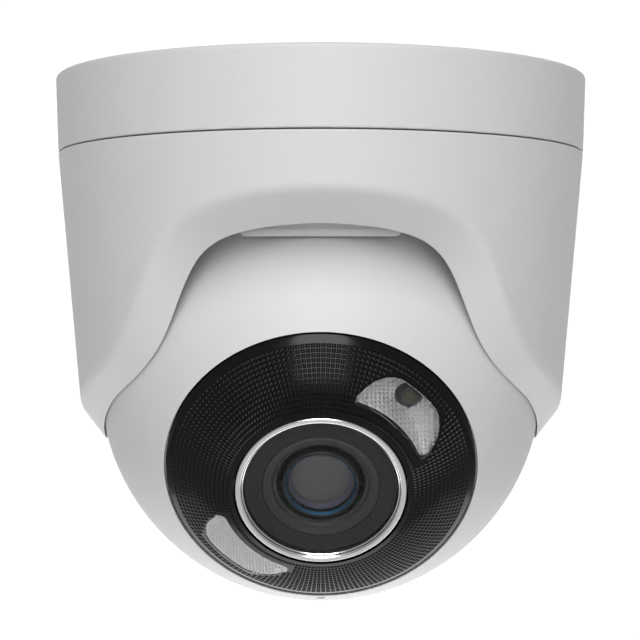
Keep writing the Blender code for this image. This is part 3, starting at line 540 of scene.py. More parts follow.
SLOT_FINISH = {
    "white_paint": "white", "black_plastic": "baffle", "face_black": "face", "clear_window": "clear",
    "frosted_window": "frosted", "silvered": "silvered", "chrome": "chrome", "glass": "lens",
    "dark_foam": "gasket", "rubber": "rubber", "steel": "steel", "brass": "brass",
    "aluminium": "aluminium", "board_green": "board", "lamp": "phosphor", "filter_red": "filter",
}
FINISHES = {}


# ---------------------------------------------------------------- base and housing

def make_base_cup():
    """The ceiling base: a shallow cup, its rim just above the seam."""
    rim = COLLAR_TOP + SEAM_GAP
    inner = RIM_RADIUS - 2.5 * MM
    plate = -3.0 * MM
    outline = [(0.0, 0.0), (BASE_RADIUS, 0.0), (RIM_RADIUS, rim), (inner, rim), (inner, plate), (0.0, plate)]
    profile = rounded(outline, [0.0, 0.9 * MM, 0.35 * MM, 0.3 * MM, 0.8 * MM, 0.0], closed=False, steps=6)
    cup = to_object(spun(profile, 256, closed=False), "base_cup")
    posts = bmesh.new()
    holes = bmesh.new()
    for degrees in THIRDS:
        rod(posts, 3.5 * MM, polar(POST_CIRCLE, degrees, plate / 2),
            polar(POST_CIRCLE, degrees, rim - 2.9 * MM))
        rod(holes, 1.7 * MM, polar(POST_CIRCLE, degrees, -8 * MM), polar(POST_CIRCLE, degrees, -30 * MM))
        rod(holes, 2.4 * MM, polar(CEILING_HOLE_CIRCLE, degrees - 60, 5 * MM),
            polar(CEILING_HOLE_CIRCLE, degrees - 60, -8 * MM))
    rod(holes, 10 * MM, CABLE_HOLE + Vector((0, 0, 5 * MM)), CABLE_HOLE - Vector((0, 0, 8 * MM)), 96)
    combine(cup, posts, "UNION")
    cut(cup, holes)
    settle(cup, "white", "base", ["mount_base"])


def make_grommet():
    """The rubber grommet of the cable hole."""
    outline = mm((9.7, -0.3), (9.7, -3.3), (12.5, -3.3), (12.5, -4.8), (5.5, -4.8), (5.5, -0.3))
    turned("cable_grommet_ring", "rubber", ["cable_grommet"], outline, 0.4 * MM, 96, "base",
           Matrix.Translation(CABLE_HOLE))


def collar_outer(z):
    return RIM_RADIUS + COLLAR_SLOPE * (z - COLLAR_TOP)


def seat_radius(z):
    below = max(0.0, BALL_CENTRE.z - z)
    return math.sqrt(SEAT_RADIUS**2 - below**2)


def collar_section(degrees, sizes):
    """Cross section of the housing at an azimuth from the front, always with the same points."""
    outer_z = edge_height(OUTER_EDGE, degrees)
    inner_z = edge_height(INNER_EDGE, degrees)
    ahead = edge_height(OUTER_EDGE, degrees + 1.0) - edge_height(OUTER_EDGE, degrees - 1.0)
    lean = ahead / (math.radians(2.0) * collar_outer(outer_z))
    stretch = math.sqrt(1.0 + lean * lean)
    under = COLLAR_TOP - FLANGE
    wall_z = inner_z + 8.5 * MM
    corners = [(RIM_RADIUS, COLLAR_TOP)]
    for part in (0.25, 0.5, 0.75):
        z = COLLAR_TOP + (outer_z - COLLAR_TOP) * part
        corners.append((collar_outer(z), z))
    corners.append((collar_outer(outer_z), outer_z))
    for part in (0.0, 0.34, 0.67, 1.0):
        z = inner_z + 6.0 * MM * part
        corners.append((seat_radius(z), z))
    corners += [(collar_outer(wall_z) - sizes.collar_wall, wall_z),
                (collar_outer(under) - sizes.collar_wall, under),
                (FLANGE_BORE, under), (FLANGE_BORE, COLLAR_TOP)]
    reach = [0.35 * MM, 0, 0, 0, sizes.edge_round * stretch, 0.4 * MM, 0, 0, 0.4 * MM, 0, 0, 0, 0.3 * MM]
    return round_section(corners, reach)


def round_section(corners, reach, steps=6):
    """Rounds the marked corners, with the same number of points whatever the lengths."""
    found = []
    for index, point in enumerate(corners):
        here = Vector(point)
        if reach[index] == 0:
            found.append(here)
            continue
        back = Vector(corners[index - 1]) - here
        ahead = Vector(corners[(index + 1) % len(corners)]) - here
        near_back = min(reach[index], back.length * 0.42)
        near_ahead = min(reach[index], ahead.length * 0.42)
        first, last = here + back.normalized() * near_back, here + ahead.normalized() * near_ahead
        found.append(here + back.normalized() * near_back * 1.12)
        for step in range(steps + 1):
            t = step / steps
            found.append(first * (1 - t) ** 2 + here * 2 * t * (1 - t) + last * t**2)
        found.append(here + ahead.normalized() * near_ahead * 1.12)
    return found


def make_housing(sizes):
    """The tapered housing: a ring is spun, then each of its sections takes the azimuth's shape."""
    steps = 360
    first = collar_section(0.0, sizes)
    bm = bmesh.new()
    order = bm.verts.layers.int.new("order")
    band = bm.faces.layers.int.new("band")
    verts = [bm.verts.new((0.0, -point.x, point.y)) for point in first]
    for index, vert in enumerate(verts):
        vert[order] = index
    edges = [bm.edges.new(pair) for pair in zip(verts, verts[1:] + verts[:1])]
    bmesh.ops.spin(bm, geom=verts + edges, cent=(0, 0, 0), axis=(0, 0, 1), angle=TURN, steps=steps,
                   use_merge=True)
    sections = {}
    for vert in bm.verts:
        degrees = round(math.degrees(math.atan2(vert.co.x, -vert.co.y)) * steps / 360) * 360 / steps
        if abs(degrees) not in sections:
            sections[abs(degrees)] = collar_section(abs(degrees), sizes)
        point = sections[abs(degrees)][vert[order]]
        angle = math.radians(degrees)
        vert.co = (point.x * math.sin(angle), -point.x * math.cos(angle), point.y)
    bmesh.ops.recalc_face_normals(bm, faces=bm.faces)
    for face in bm.faces:
        face[band] = all(BAND[0] <= vert[order] <= BAND[1] for vert in face.verts)
    housing = to_object(bm, "housing")
    bores = bmesh.new()
    rod(bores, 1.8 * MM, (0, 40 * MM, LOCK_SCREW_Z), (0, 60 * MM, LOCK_SCREW_Z), 32)
    cut(housing, bores)
    settle(housing, "white", "collar", ["collar_shell"], sharp=50.0)
    housing.data.materials.append(FINISHES["white_smooth"])
    for polygon, smooth in zip(housing.data.polygons, housing.data.attributes["band"].data):
        polygon.material_index = smooth.value


def make_retainer():
    """The frame over the ball. Its straight front bar shows under the housing's brow."""
    top, low = -28.0 * MM, -30.0 * MM
    outline = [(45.6 * MM, top), (45.6 * MM, low), (33.3 * MM, low), (33.3 * MM, top)]
    ring = to_object(spun(rounded(outline, 0.3 * MM), 160), "ball_retainer")
    back, front, foot = -36.95 * MM, -38.6 * MM, -34.5 * MM
    web = bmesh.new()
    block(web, (29.8 * MM, 1.15 * MM, 5.6 * MM), (0, back - 0.575 * MM, foot + 0.7 * MM + 2.8 * MM))
    bar = bmesh.new()
    block(bar, (30.8 * MM, front - back, 1.45 * MM), (0, (front + back) / 2, foot + 0.725 * MM))
    ends = [edge for edge in bar.edges
            if abs(edge.verts[0].co.y - edge.verts[1].co.y) > MM and edge.verts[0].co.z < foot + 0.1 * MM]
    bmesh.ops.bevel(bar, geom=ends, offset=1.1 * MM, offset_type="OFFSET", affect="EDGES", segments=8,
                    profile=0.5, material=-1)
    round_edges(bar, 0.14 * MM)
    ears = bmesh.new()
    holes = bmesh.new()
    for degrees in (25, 155):
        rod(ears, 3.0 * MM, polar(47 * MM, degrees, top), polar(47 * MM, degrees, low))
        rod(holes, 1.6 * MM, polar(47 * MM, degrees, top + MM), polar(47 * MM, degrees, low - MM))
    block(holes, (26 * MM, 30 * MM, 12 * MM), (0, 45 * MM, top))
    for tool, operation in ((ears, "UNION"), (web, "UNION"), (bar, "UNION"), (holes, "DIFFERENCE")):
        combine(ring, tool, operation)
    settle(ring, "white_smooth", "collar", ["clamp_frame"], sharp=30.0)


def make_lock_screw():
    """A socket set screw in the back of the housing."""
    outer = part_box("lock_screw")[1].y
    bm = spun(rounded(mm((0, 0), (1.5, 0), (1.5, 4.0), (0, 4.0)), [0, 0.25 * MM, 0.3 * MM, 0],
                      closed=False), 48, closed=False)
    screw = to_object(bm, "set_screw")
    socket = bmesh.new()
    rod(socket, 0.85 * MM, (0, 0, -MM), (0, 0, 1.4 * MM), 6)
    cut(screw, socket)
    place = Matrix.Translation((0, outer, LOCK_SCREW_Z)) @ Matrix.Rotation(math.radians(90), 4, "X")
    settle(screw, "steel", "collar", ["lock_screw"], place)


# ---------------------------------------------------------------- ball shells

def make_front_shell():
    """The front shell of the ball, open for the face, with the microphone's hole."""
    seat, ledge = 30.4 * MM, 28.0 * MM
    ledge_low = 30.6 * MM
    lip = math.asin(seat / BALL_RADIUS)
    outer = arc(BALL_RADIUS, lip, math.acos(SHELL_SPLIT / BALL_RADIUS), 48)
    inner = arc(SHELL_INSIDE, math.acos(SHELL_SPLIT / SHELL_INSIDE), math.acos(ledge_low / SHELL_INSIDE), 12)
    corners = [(ledge, ledge_low), (ledge, 32.6 * MM), (seat, 32.6 * MM)]
    outline = outer + inner + corners
    reach = [0.22 * MM] + [0] * (len(outer) - 2) + [0.2 * MM, 0.2 * MM] + [0] * (len(inner) - 2) + [0] * 4
    shell = to_object(spun(rounded(outline, reach, hold=0.05 * MM), 256), "ball_front")
    away = Vector((0.0, -math.sin(math.radians(MIC_ANGLE)), math.cos(math.radians(MIC_ANGLE))))
    hole = bmesh.new()
    rod(hole, 1.0 * MM, away * 40 * MM, away * 50 * MM, 40)
    rod(hole, 1.0 * MM, away * (BALL_RADIUS - 0.15 * MM), away * (BALL_RADIUS + 0.35 * MM), 40, 1.5 * MM)
    cut(shell, hole)
    settle(shell, "white", "ball", ["front_shell"], BALL)


def hatch_turn():
    return Matrix.Rotation(math.radians(HATCH_ANGLE), 4, "X")


def hatch_block(width, height, low, high, corner):
    """A box through the hatch's place, with rounded upright corners."""
    bm = bmesh.new()
    block(bm, (width, height, high - low), (0, 0, (low + high) / 2))
    upright = [edge for edge in bm.edges if abs(edge.verts[0].co.z - edge.verts[1].co.z) > MM]
    bmesh.ops.bevel(bm, geom=upright, offset=corner, offset_type="OFFSET", affect="EDGES", segments=6,
                    profile=0.5, material=-1)
    bmesh.ops.transform(bm, matrix=hatch_turn(), verts=bm.verts)
    return bm


def hatch_bores(radius, low):
    """Two round cutters through the hatch's screw places, from the height given outward."""
    bores = bmesh.new()
    for side in (-HATCH_SCREW, HATCH_SCREW):
        rod(bores, radius, (side, 0, low), (side, 0, 50 * MM), 32)
    bmesh.ops.transform(bores, matrix=hatch_turn(), verts=bores.verts)
    return bores


def make_rear_shell():
    """The rear shell, with the hatch's seat, the screw wells and the gland's hole."""
    outer = arc(BALL_RADIUS, math.acos(-SHELL_SPLIT / BALL_RADIUS),
                math.pi - math.asin(GLAND_RADIUS / BALL_RADIUS), 48)
    inner = arc(SHELL_INSIDE, math.pi - math.asin(GLAND_RADIUS / SHELL_INSIDE),
                math.acos(-SHELL_SPLIT / SHELL_INSIDE), 16)
    reach = [0.2 * MM] + [0] * (len(outer) - 2) + [0.3 * MM, 0] + [0] * (len(inner) - 2) + [0]
    shell = to_object(spun(rounded(outer + inner, reach, hold=0.05 * MM), 256), "ball_rear")
    bosses = bmesh.new()
    wells = bmesh.new()
    for degrees in THIRDS:
        rod(bosses, 3.4 * MM, polar(SHELL_SCREW_CIRCLE, degrees, -SHELL_SPLIT),
            polar(SHELL_SCREW_CIRCLE, degrees, -19.5 * MM), 32)
        rod(wells, 1.6 * MM, polar(SHELL_SCREW_CIRCLE, degrees, 5 * MM),
            polar(SHELL_SCREW_CIRCLE, degrees, -17.5 * MM), 32)
        rod(wells, 3.0 * MM, polar(SHELL_SCREW_CIRCLE, degrees, SCREW_SEAT),
            polar(SHELL_SCREW_CIRCLE, degrees, -40 * MM), 48)
    limit = spun(arc(44.4 * MM, 0.0, math.pi, 40), 96, closed=False)
    kept = to_object(bosses, "bosses")
    combine(kept, limit, "INTERSECT")
    joined = bmesh.new()
    joined.from_mesh(kept.data)
    bpy.data.objects.remove(kept)
    combine(shell, joined, "UNION")
    cut(shell, wells, hatch_block(20 * MM, 14 * MM, HATCH_SEAT, 50 * MM, 2.0 * MM),
        hatch_block(14 * MM, 10 * MM, 38 * MM, 50 * MM, 1.5 * MM), hatch_bores(0.7 * MM, 38 * MM))
    settle(shell, "white", "ball", ["rear_shell"], BALL)


def make_hatch():
    """The curved lid over the memory card, with two small screws."""
    lid = to_object(hatch_block(19.4 * MM, 13.4 * MM, HATCH_SEAT + 0.5 * MM, 50 * MM, 1.8 * MM), "card_lid")
    combine(lid, spun(arc(BALL_RADIUS - 0.05 * MM, 0.0, math.pi, 96), 192, closed=False), "INTERSECT")
    cut(lid, hatch_bores(0.7 * MM, 40 * MM), hatch_bores(1.1 * MM, HATCH_SEAT + 0.85 * MM))
    settle(lid, "white", "ball", ["card_hatch"], BALL, sharp=30.0)
    for count, side in enumerate((-HATCH_SCREW, HATCH_SCREW), 1):
        outline = mm((0, 0), (0.76, 0), (0.76, -0.44), (0.4, -0.44), (0.4, -2.1), (0, -2.1))
        screw = to_object(spun(rounded(outline, [0, 0.15 * MM, 0, 0, 0, 0], closed=False), 40, closed=False),
                          f"hatch_screw_head_{count}")
        for size in ((0.9 * MM, 0.18 * MM, 0.4 * MM), (0.18 * MM, 0.9 * MM, 0.4 * MM)):
            cross = bmesh.new()
            block(cross, size, (0, 0, 0))
            cut(screw, cross)
        place = BALL @ hatch_turn() @ Matrix.Translation((side, 0, HATCH_SEAT + 1.44 * MM))
        settle(screw, "steel", "ball", [f"hatch_screw_{count}"], place)


def make_seal_and_gland():
    """The rubber seal between the shells and the gland for the lead."""
    high = SHELL_SPLIT - 0.3 * MM
    outline = [(45.7 * MM, high), (45.7 * MM, -high), (43.5 * MM, -high), (43.5 * MM, high)]
    turned("ball_seal", "rubber", ["shell_seal"], outline, 0.25 * MM, 256, "seal")
    outline = mm((8.6, -40), (8.6, -42.1), (5.7, -42.1), (5.7, -45.2), (2.7, -45.2), (2.7, -40))
    turned("lead_gland", "rubber", ["cable_gland"], outline, 0.35 * MM, 96)


# ---------------------------------------------------------------- face

def lamp_outline(centre, grow, fine=8):
    """The kidney outline of a lamp window, concave inside and convex outside, with round tips."""
    inner, outer = LAMP_INNER - grow, LAMP_OUTER + grow
    side = [(inner + 0.08 * MM, LAMP_SPAN + 0.2), (inner + 0.32 * MM, LAMP_SPAN + 1.5),
            (inner + 0.75 * MM, LAMP_SPAN + 2.3), (inner + 1.3 * MM, LAMP_SPAN + 2.6),
            (inner + 1.9 * MM, LAMP_SPAN + 2.2), (inner + 2.6 * MM, LAMP_SPAN + 0.9),
            (outer - 3.4 * MM, 23.2), (outer - 2.1 * MM, 20.4), (outer - 1.0 * MM, 16.8),
            (outer - 0.3 * MM, 13.4)]
    polar_points = [(inner, (LAMP_SPAN - 1.8) * (step / fine * 2 - 1)) for step in range(fine + 1)]
    polar_points += side
    polar_points += [(outer, 10.0 - 20.0 * step / 5) for step in range(6)]
    polar_points += [(radius, -spread) for radius, spread in reversed(side)]
    found = []
    for radius, spread in polar_points:
        widen = math.copysign(math.degrees(grow / radius), spread) if abs(spread) > 12 else 0.0
        point = polar(radius, centre + spread + widen)
        found.append((point.x, point.y))
    return found


def dome_solid(radius, steps=192):
    """A solid cap of a sphere about the ball's centre."""
    return spun(arc(radius, 0.0, math.radians(60), 60) + [(0.0, radius * 0.5)], steps, closed=False)


def inside_lamp(a, degrees, margin):
    """Whether a point of the face lies in a lamp window or within the margin round it."""
    for centre in LAMPS.values():
        spread = abs((degrees - centre + 180) % 360 - 180)
        limit = LAMP_SPAN + 2.2 if a < LAMP_INNER + 1.8 * MM else 22.5
        limit -= max(0.0, (a - (LAMP_OUTER - 3.0 * MM)) / MM) * 2.6
        limit += math.degrees(margin / a)
        if LAMP_INNER - margin < a < LAMP_OUTER + margin and spread < limit:
            return True
    return False


def make_face(sizes):
    """The black face: a dome of dimples with a smooth margin and two openings for the lamps."""
    hole = math.asin((BEZEL_RADIUS + 0.12 * MM) / FACE_DOME)
    inner_field = math.asin((BEZEL_RADIUS + 0.95 * MM) / FACE_DOME)
    outer_field = math.asin(28.75 * MM / FACE_DOME)
    edge = math.asin(FACE_RADIUS / FACE_DOME)
    under = FACE_DOME - FACE_THICK
    skirt = 28.6 * MM
    outer = [arc(FACE_DOME, hole, hole, 1)[0]]
    outer += arc(FACE_DOME, inner_field, outer_field, sizes.dimple_rings)
    margin = arc(FACE_DOME, outer_field, edge - 0.006, 3)[1:]
    margin += [(FACE_RADIUS - 0.07 * MM, FACE_DOME * math.cos(edge) - 0.02 * MM),
               (FACE_RADIUS, FACE_DOME * math.cos(edge) - 0.15 * MM)]
    rest = [(FACE_RADIUS, 32.9 * MM), (skirt, 32.9 * MM)]
    rest += arc(under, math.asin(skirt / under), hole * FACE_DOME / under, 6)
    bm = spun(outer + margin + rest, sizes.dimple_columns)
    low_cos, high_cos = math.cos(outer_field), math.cos(inner_field)
    cells = []
    for face in bm.faces:
        middle = face.calc_center_median()
        height = middle.z / middle.length
        if middle.length < FACE_DOME - 0.1 * MM or not low_cos < height < high_cos:
            continue
        a = math.hypot(middle.x, middle.y)
        if not inside_lamp(a, math.degrees(math.atan2(middle.y, middle.x)), 0.75 * MM):
            cells.append(face)
    pitch = sum(math.sqrt(face.calc_area()) for face in cells) / len(cells)
    bmesh.ops.inset_individual(bm, faces=cells, thickness=pitch * 0.07, use_even_offset=True)
    for width, depth in ((0.12, -0.85), (0.11, -0.25), (0.12, 0.35)):
        bmesh.ops.inset_individual(bm, faces=cells, thickness=pitch * width,
                                   depth=sizes.dimple_depth * depth, use_even_offset=True)
    face = to_object(bm, "face_plate")
    for centre in LAMPS.values():
        cut(face, prism(lamp_outline(centre, 0.0, 24), 30 * MM, 48 * MM))
    settle(face, "face", "ball", ["face_cover"], BALL, sharp=50.0)


def make_lamp_windows(sizes):
    """The clear upper window, and the lower one with its frosted beads."""
    for side, centre in LAMPS.items():
        window = to_object(prism(lamp_outline(centre, -0.12 * MM, 24), 32 * MM, 48 * MM),
                           f"lamp_window_{side}")
        drop = 0.0 if side == "upper" else 0.12 * MM
        combine(window, dome_solid(FACE_DOME - drop), "INTERSECT")
        cut(window, dome_solid(FACE_DOME - FACE_THICK + 0.05 * MM))
        finish = "clear" if side == "upper" else "frosted"
        settle(window, finish, "ball", [f"light_window_{side}"], BALL, sharp=30.0)
    beads = bmesh.new()
    pitch = sizes.prism_pitch
    middle = polar(LAMP_CENTRE, LAMP_LOWER)
    count = int(9 * MM / pitch)
    for column in range(-count, count + 1):
        for row in range(-count, count + 1):
            x, y = middle.x + column * pitch, middle.y + row * pitch * 1.3
            a = math.hypot(x, y)
            if not inside_lamp(a, math.degrees(math.atan2(y, x)), -0.55 * MM):
                continue
            height = math.sqrt((FACE_DOME - 0.12 * MM) ** 2 - a * a)
            out = Vector((x, y, height)).normalized()
            place = Matrix.Translation((x, y, height)) @ out.to_track_quat("Z", "Y").to_matrix().to_4x4()
            bmesh.ops.create_uvsphere(beads, u_segments=8, v_segments=6, radius=pitch * 0.38,
                                      matrix=place @ Matrix.Diagonal((1.0, 1.2, 0.8, 1.0)))
    obj = to_object(beads, "lamp_prisms_lower")
    settle(obj, "frosted", "ball", [], BALL, sharp=20.0)


def bowl(centre, rings=6):
    """The hollow of a reflector: a bowl from a round well to the window's outline."""
    rim = lamp_outline(centre, -0.35 * MM, 12)
    middle = polar(LAMP_CENTRE, centre)
    bm = bmesh.new()
    levels = [(33.6 * MM, 0.0)]
    for step in range(1, rings + 1):
        levels.append((33.6 * MM + 5.4 * MM * (step / rings) ** 1.25, (step / rings) ** 0.75))
    levels.append((47.0 * MM, 1.0))
    verts = [bm.verts.new((x, y, levels[0][0])) for x, y in rim]
    edges = [bm.edges.new(pair) for pair in zip(verts, verts[1:] + verts[:1])]
    for height, blend in levels:
        if height > levels[0][0]:
            made = bmesh.ops.extrude_edge_only(bm, edges=edges)["geom"]
            edges = [part for part in made if isinstance(part, bmesh.types.BMEdge)]
            verts = [part for part in made if isinstance(part, bmesh.types.BMVert)]
        for vert, (x, y) in zip(verts, rim):
            away = Vector((x - middle.x, y - middle.y))
            point = (away.normalized() * 2.9 * MM).lerp(away, blend)
            vert.co = (middle.x + point.x, middle.y + point.y, height)
    bmesh.ops.holes_fill(bm, edges=bm.edges, sides=0)
    bmesh.ops.recalc_face_normals(bm, faces=bm.faces)
    return bm


def make_reflectors():
    """Silvered cups behind the lamp windows."""
    for side, centre in LAMPS.items():
        cup = to_object(prism(lamp_outline(centre, 0.6 * MM, 12), LED_BOARD_TOP + 0.3 * MM, 46 * MM),
                        f"lamp_cup_{side}")
        combine(cup, dome_solid(FACE_DOME - FACE_THICK - 0.15 * MM), "INTERSECT")
        cut(cup, bowl(centre))
        well = bmesh.new()
        rod(well, 2.7 * MM, polar(LAMP_CENTRE, centre, 29 * MM), polar(LAMP_CENTRE, centre, 34 * MM), 40)
        cut(cup, well)
        settle(cup, "silvered", "ball", [f"reflector_{side}"], BALL, sharp=25.0)


def make_lamps():
    """The lamp diodes: a dark body with a low dome of phosphor."""
    for side, centre in LAMPS.items():
        turn = Matrix.Rotation(math.radians(centre), 4, "Z")
        place = BALL @ Matrix.Translation(polar(LAMP_CENTRE, centre)) @ turn
        bm = bmesh.new()
        block(bm, (3.4 * MM, 3.4 * MM, 4.1 * MM), (0, 0, 32.7 * MM))
        round_edges(bm, 0.15 * MM)
        body = to_object(bm, f"lamp_body_{side}")
        settle(body, "lamp_body", "ball", [f"led_{side}"], place)
        bm = bmesh.new()
        dome = Matrix.Translation((0, 0, 34.7 * MM)) @ Matrix.Diagonal((1, 1, 0.5, 1))
        bmesh.ops.create_uvsphere(bm, u_segments=32, v_segments=16, radius=1.35 * MM, matrix=dome)
        chip = to_object(bm, f"lamp_chip_{side}")
        settle(chip, "phosphor", "ball", [], place)


def make_bezel():
    """The bright ring round the lens window, with a fine inner step."""
    outline = [(15.85 * MM + 0.75 * MM * math.cos(math.radians(angle)),
                41.7 * MM + 0.72 * MM * math.sin(math.radians(angle))) for angle in range(180, -1, -15)]
    outline += [(BEZEL_RADIUS, 39.4 * MM), (18.2 * MM, 39.4 * MM), (18.2 * MM, 38.4 * MM),
                (BEZEL_BORE, 38.4 * MM), (BEZEL_BORE, 41.55 * MM), (15.0 * MM, 41.62 * MM)]
    turned("bezel_ring", "chrome", ["lens_bezel"], outline, None, 256)


def make_lens_window():
    """The flat window, the foam gasket behind it and the stepped baffle."""
    radius = BEZEL_BORE - 0.12 * MM
    outline = [(0, GLASS_TOP), (radius, GLASS_TOP), (radius, 40.9 * MM), (0, 40.9 * MM)]
    turned("lens_window", "glass", ["window_glass"], outline, [0, 0.15 * MM, 0.1 * MM, 0], 192,
           closed=False)
    outline = mm((14.7, 40.6), (14.7, 39.9), (11.3, 39.9), (11.3, 40.6))
    turned("foam_gasket", "gasket", ["window_gasket"], outline, 0.15 * MM, 192)
    outline = mm((11.15, 40.5), (11.15, 39.6), (14.3, 39.6), (14.3, 38.4), (8.56, 38.4), (8.56, 39.3),
                 (9.1, 39.3), (9.5, 39.9), (10.2, 40.0))
    turned("stepped_baffle", "baffle", ["light_baffle"], outline, 0.12 * MM, 192)


def make_lens():
    """The lens: a ribbed barrel, the front element, two rings whose blue and violet are painted reflections of the
    lens coating, and a second element.
    """
    outline = mm((6.55, 39.6), (6.9, 40.0), (7.3, 40.0))
    outline += [(BARREL_RADIUS, 39.6 * MM), (BARREL_RADIUS, 28.5 * MM)]
    outline += mm((6.0, 28.5), (6.0, 20.6), (4.6, 20.6), (4.6, 30))
    outline += [(5.5 * MM - step % 2 * 0.35 * MM, (32.0 + 0.8 * step) * MM) for step in range(7)]
    outline += [(5.5 * MM, 37.6 * MM), (6.55 * MM, 37.6 * MM)]
    turned("lens_tube", "barrel", ["lens_barrel"], outline, 0.1 * MM, 128)
    front = [(6.4 * MM * step / 10, 40.35 * MM - 1.0 * MM * (step / 10) ** 2) for step in range(11)]
    front += [(6.4 * MM * step / 10, 39.9 * MM - 0.9 * MM * (step / 10) ** 2) for step in range(10, -1, -1)]
    turned("front_element", "lens", ["front_lens"], front, None, 128, closed=False)
    # a ring facing up at the bottom of the barrel, blue metal that shows a painted blue reflection of the lens
    # coating
    outline = mm((6.9, 40.02), (6.5, 39.55), (6.9, 39.5))
    turned("lens_ring_outer", "blue_reflection_ring", [], outline, None, 160)
    # a ring in the barrel's throat, violet metal that shows a painted violet reflection of the lens coating
    outline = mm((6.1, 38.7), (5.5, 37.3), (6.1, 37.2))
    turned("lens_ring_inner", "violet_reflection_ring", [], outline, None, 160)
    disc = mm((0, 37.5), (3.0, 37.42), (5.5, 37.2), (5.5, 36.6), (0, 36.6))
    turned("second_element", "pupil", [], disc, [0, 0, 0.1 * MM, 0, 0], 128, closed=False)


def make_inner_finishes():
    """Gives every CAD piece that still shows its own finish."""
    slots = {row["node"]: row["material_slot"] for row in frame["record"]["subparts"]}
    for name, obj in frame["nodes"].items():
        obj.data.materials.clear()
        obj.data.materials.append(FINISHES[SLOT_FINISH[slots[name]]])


# ---------------------------------------------------------------- stage

def soft_light(name, width, height, place, aim, power):
    """A rectangular soft light that faces a point."""
    lamp = bpy.data.lights.new(name, "AREA")
    lamp.shape = "RECTANGLE"
    lamp.size = width
    lamp.size_y = height
    lamp.energy = power
    obj = bpy.data.objects.new(name, lamp)
    obj.location = place
    obj.rotation_euler = (Vector(aim) - Vector(place)).to_track_quat("-Z", "Y").to_euler()
    obj.visible_camera = False
    bpy.context.scene.collection.objects.link(obj)


def make_stage(colours):
    """A white studio: pale floor well below, even white behind, soft light from the front."""
    bm = bmesh.new()
    bmesh.ops.create_circle(bm, cap_ends=True, segments=96, radius=FLOOR_RADIUS)
    bmesh.ops.translate(bm, verts=bm.verts, vec=(0.0, 0.0, FLOOR_Z))
    floor = to_object(bm, "floor_paper")
    paper, tree, shader, where = surface("Matt white paper", linear(colours.backdrop), Roughness=0.9)
    skin(tree, shader, where, 0.6 * MM, None, 0.02 * MM, 0.3)
    floor.data.materials.append(paper)
    scene = bpy.context.scene
    world = bpy.data.worlds.new("White studio")
    world.use_nodes = True
    tree = world.node_tree
    tree.nodes.clear()
    white = (1.0, 1.0, 1.0, 1.0)
    seen = add_node(tree, "ShaderNodeBackground", {"Color": white, "Strength": 1.1})
    fill = add_node(tree, "ShaderNodeBackground", {"Color": white, "Strength": 0.06})
    where = add_node(tree, "ShaderNodeTexCoord").outputs["Generated"]
    depth = add_node(tree, "ShaderNodeSeparateXYZ", {"Vector": where}).outputs["Y"]
    sweep = add_node(tree, "ShaderNodeMapRange", {"Value": depth, "From Min": -0.1, "From Max": 0.7,
                                                  "To Min": 0.3, "To Max": 1.15})
    shine = add_node(tree, "ShaderNodeBackground", {"Color": white, "Strength": sweep.outputs["Result"]})
    path = add_node(tree, "ShaderNodeLightPath")
    lit = add_node(tree, "ShaderNodeMixShader", {"Fac": path.outputs["Is Glossy Ray"]})
    tree.links.new(fill.outputs["Background"], lit.inputs[1])
    tree.links.new(shine.outputs["Background"], lit.inputs[2])
    mix = add_node(tree, "ShaderNodeMixShader", {"Fac": path.outputs["Is Camera Ray"]})
    tree.links.new(lit.outputs["Shader"], mix.inputs[1])
    tree.links.new(seen.outputs["Background"], mix.inputs[2])
    add_node(tree, "ShaderNodeOutputWorld", {"Surface": mix.outputs["Shader"]})
    scene.world = world
    soft_light("front_soft_light", 0.7, 1.7, (0.0, -1.2, 0.66), AIM, 16.6)
    soft_light("low_soft_light", 1.2, 1.0, (0.0, 0.2, -0.56), AIM, 5.2)
    soft_light("rear_soft_light", 0.8, 0.8, (0.0, 1.4, 0.35), AIM, 9.0)
    scene.view_settings.view_transform = "Standard"
    lens = bpy.data.cameras.new("camera")
    lens.sensor_width = 36.0
    lens.lens = VIEW_LENS
    lens.clip_start = 0.01
    view = bpy.data.objects.new("camera", lens)
    view.location = VIEW_PLACE
    view.rotation_euler = (VIEW_TILT, 0.0, 0.0)
    scene.collection.objects.link(view)
    scene.camera = view


# ---------------------------------------------------------------- operators

class CAMERA_OT_finishes(bpy.types.Operator):
    """Make every finish and give the inner pieces theirs"""
    bl_idname = "ceiling_camera.finishes"
    bl_label = "Finishes"

    def execute(self, context):
        FINISHES.update(make_finishes(context.scene.camera_sizes, context.scene.camera_colours))
        make_inner_finishes()
        return {"FINISHED"}


class CAMERA_OT_base(bpy.types.Operator):
    """Build the ceiling base and its grommet"""
    bl_idname = "ceiling_camera.base"
    bl_label = "Base"

    def execute(self, context):
        make_base_cup()
        make_grommet()
        return {"FINISHED"}


class CAMERA_OT_housing(bpy.types.Operator):
    """Build the tapered housing and its lock screw"""
    bl_idname = "ceiling_camera.housing"
    bl_label = "Tapered housing"

    def execute(self, context):
        make_housing(context.scene.camera_sizes)
        make_lock_screw()
        return {"FINISHED"}


class CAMERA_OT_retainer(bpy.types.Operator):
    """Build the frame that holds the ball"""
    bl_idname = "ceiling_camera.retainer"
    bl_label = "Ball retainer"

    def execute(self, context):
        make_retainer()
        return {"FINISHED"}


class CAMERA_OT_ball(bpy.types.Operator):
    """Build the two shells of the ball, their seal, the gland and the hatch"""
    bl_idname = "ceiling_camera.ball"
    bl_label = "Ball"

    def execute(self, context):
        make_front_shell()
        make_rear_shell()
        make_hatch()
        make_seal_and_gland()
        return {"FINISHED"}


class CAMERA_OT_face(bpy.types.Operator):
    """Build the dimpled black face"""
    bl_idname = "ceiling_camera.face"
    bl_label = "Black face"

    def execute(self, context):
        make_face(context.scene.camera_sizes)
        return {"FINISHED"}


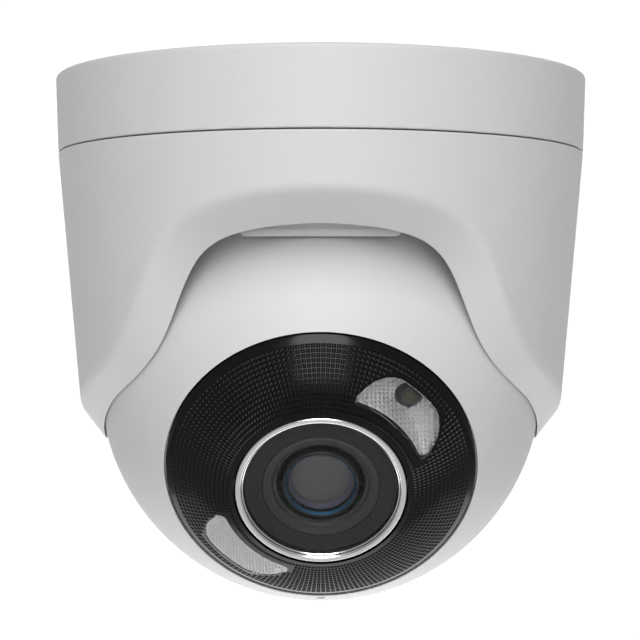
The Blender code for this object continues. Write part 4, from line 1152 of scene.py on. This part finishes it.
class CAMERA_OT_lamps(bpy.types.Operator):
    """Build the lamps with their windows and reflectors"""
    bl_idname = "ceiling_camera.lamps"
    bl_label = "Lamps"

    def execute(self, context):
        make_lamp_windows(context.scene.camera_sizes)
        make_reflectors()
        make_lamps()
        return {"FINISHED"}


class CAMERA_OT_lens(bpy.types.Operator):
    """Build the bezel, its window, the baffle and the lens"""
    bl_idname = "ceiling_camera.lens"
    bl_label = "Lens and bezel"

    def execute(self, context):
        make_bezel()
        make_lens_window()
        make_lens()
        return {"FINISHED"}


class CAMERA_OT_stage(bpy.types.Operator):
    """Build the floor, the lights and the viewing camera"""
    bl_idname = "ceiling_camera.stage"
    bl_label = "Stage"

    def execute(self, context):
        make_stage(context.scene.camera_colours)
        return {"FINISHED"}


class CAMERA_PT_builder(bpy.types.Panel):
    """Lists the steps and what can be changed"""
    bl_idname = "CAMERA_PT_builder"
    bl_label = "Ceiling camera"
    bl_space_type = "VIEW_3D"
    bl_region_type = "UI"
    bl_category = "Ceiling Camera"

    def draw(self, context):
        for group in (context.scene.camera_sizes, context.scene.camera_colours):
            box = self.layout.box()
            for key in group.bl_rna.properties.keys():
                if key not in ("rna_type", "name"):
                    box.prop(group, key)
        for step in STEPS:
            self.layout.operator(step.bl_idname)


STEPS = (CAMERA_OT_finishes, CAMERA_OT_base, CAMERA_OT_housing, CAMERA_OT_retainer, CAMERA_OT_ball,
         CAMERA_OT_face, CAMERA_OT_lamps, CAMERA_OT_lens, CAMERA_OT_stage)
CLASSES = (CameraSizes, CameraColours, *STEPS, CAMERA_PT_builder)


def register():
    for cls in CLASSES:
        bpy.utils.register_class(cls)
    bpy.types.Scene.camera_sizes = bpy.props.PointerProperty(type=CameraSizes)
    bpy.types.Scene.camera_colours = bpy.props.PointerProperty(type=CameraColours)


def unregister():
    del bpy.types.Scene.camera_colours
    del bpy.types.Scene.camera_sizes
    for cls in reversed(CLASSES):
        bpy.utils.unregister_class(cls)


def main():
    register()
    for step in STEPS:
        getattr(bpy.ops.ceiling_camera, step.bl_idname.split(".")[1])()


if __name__ == "__main__":
    main()
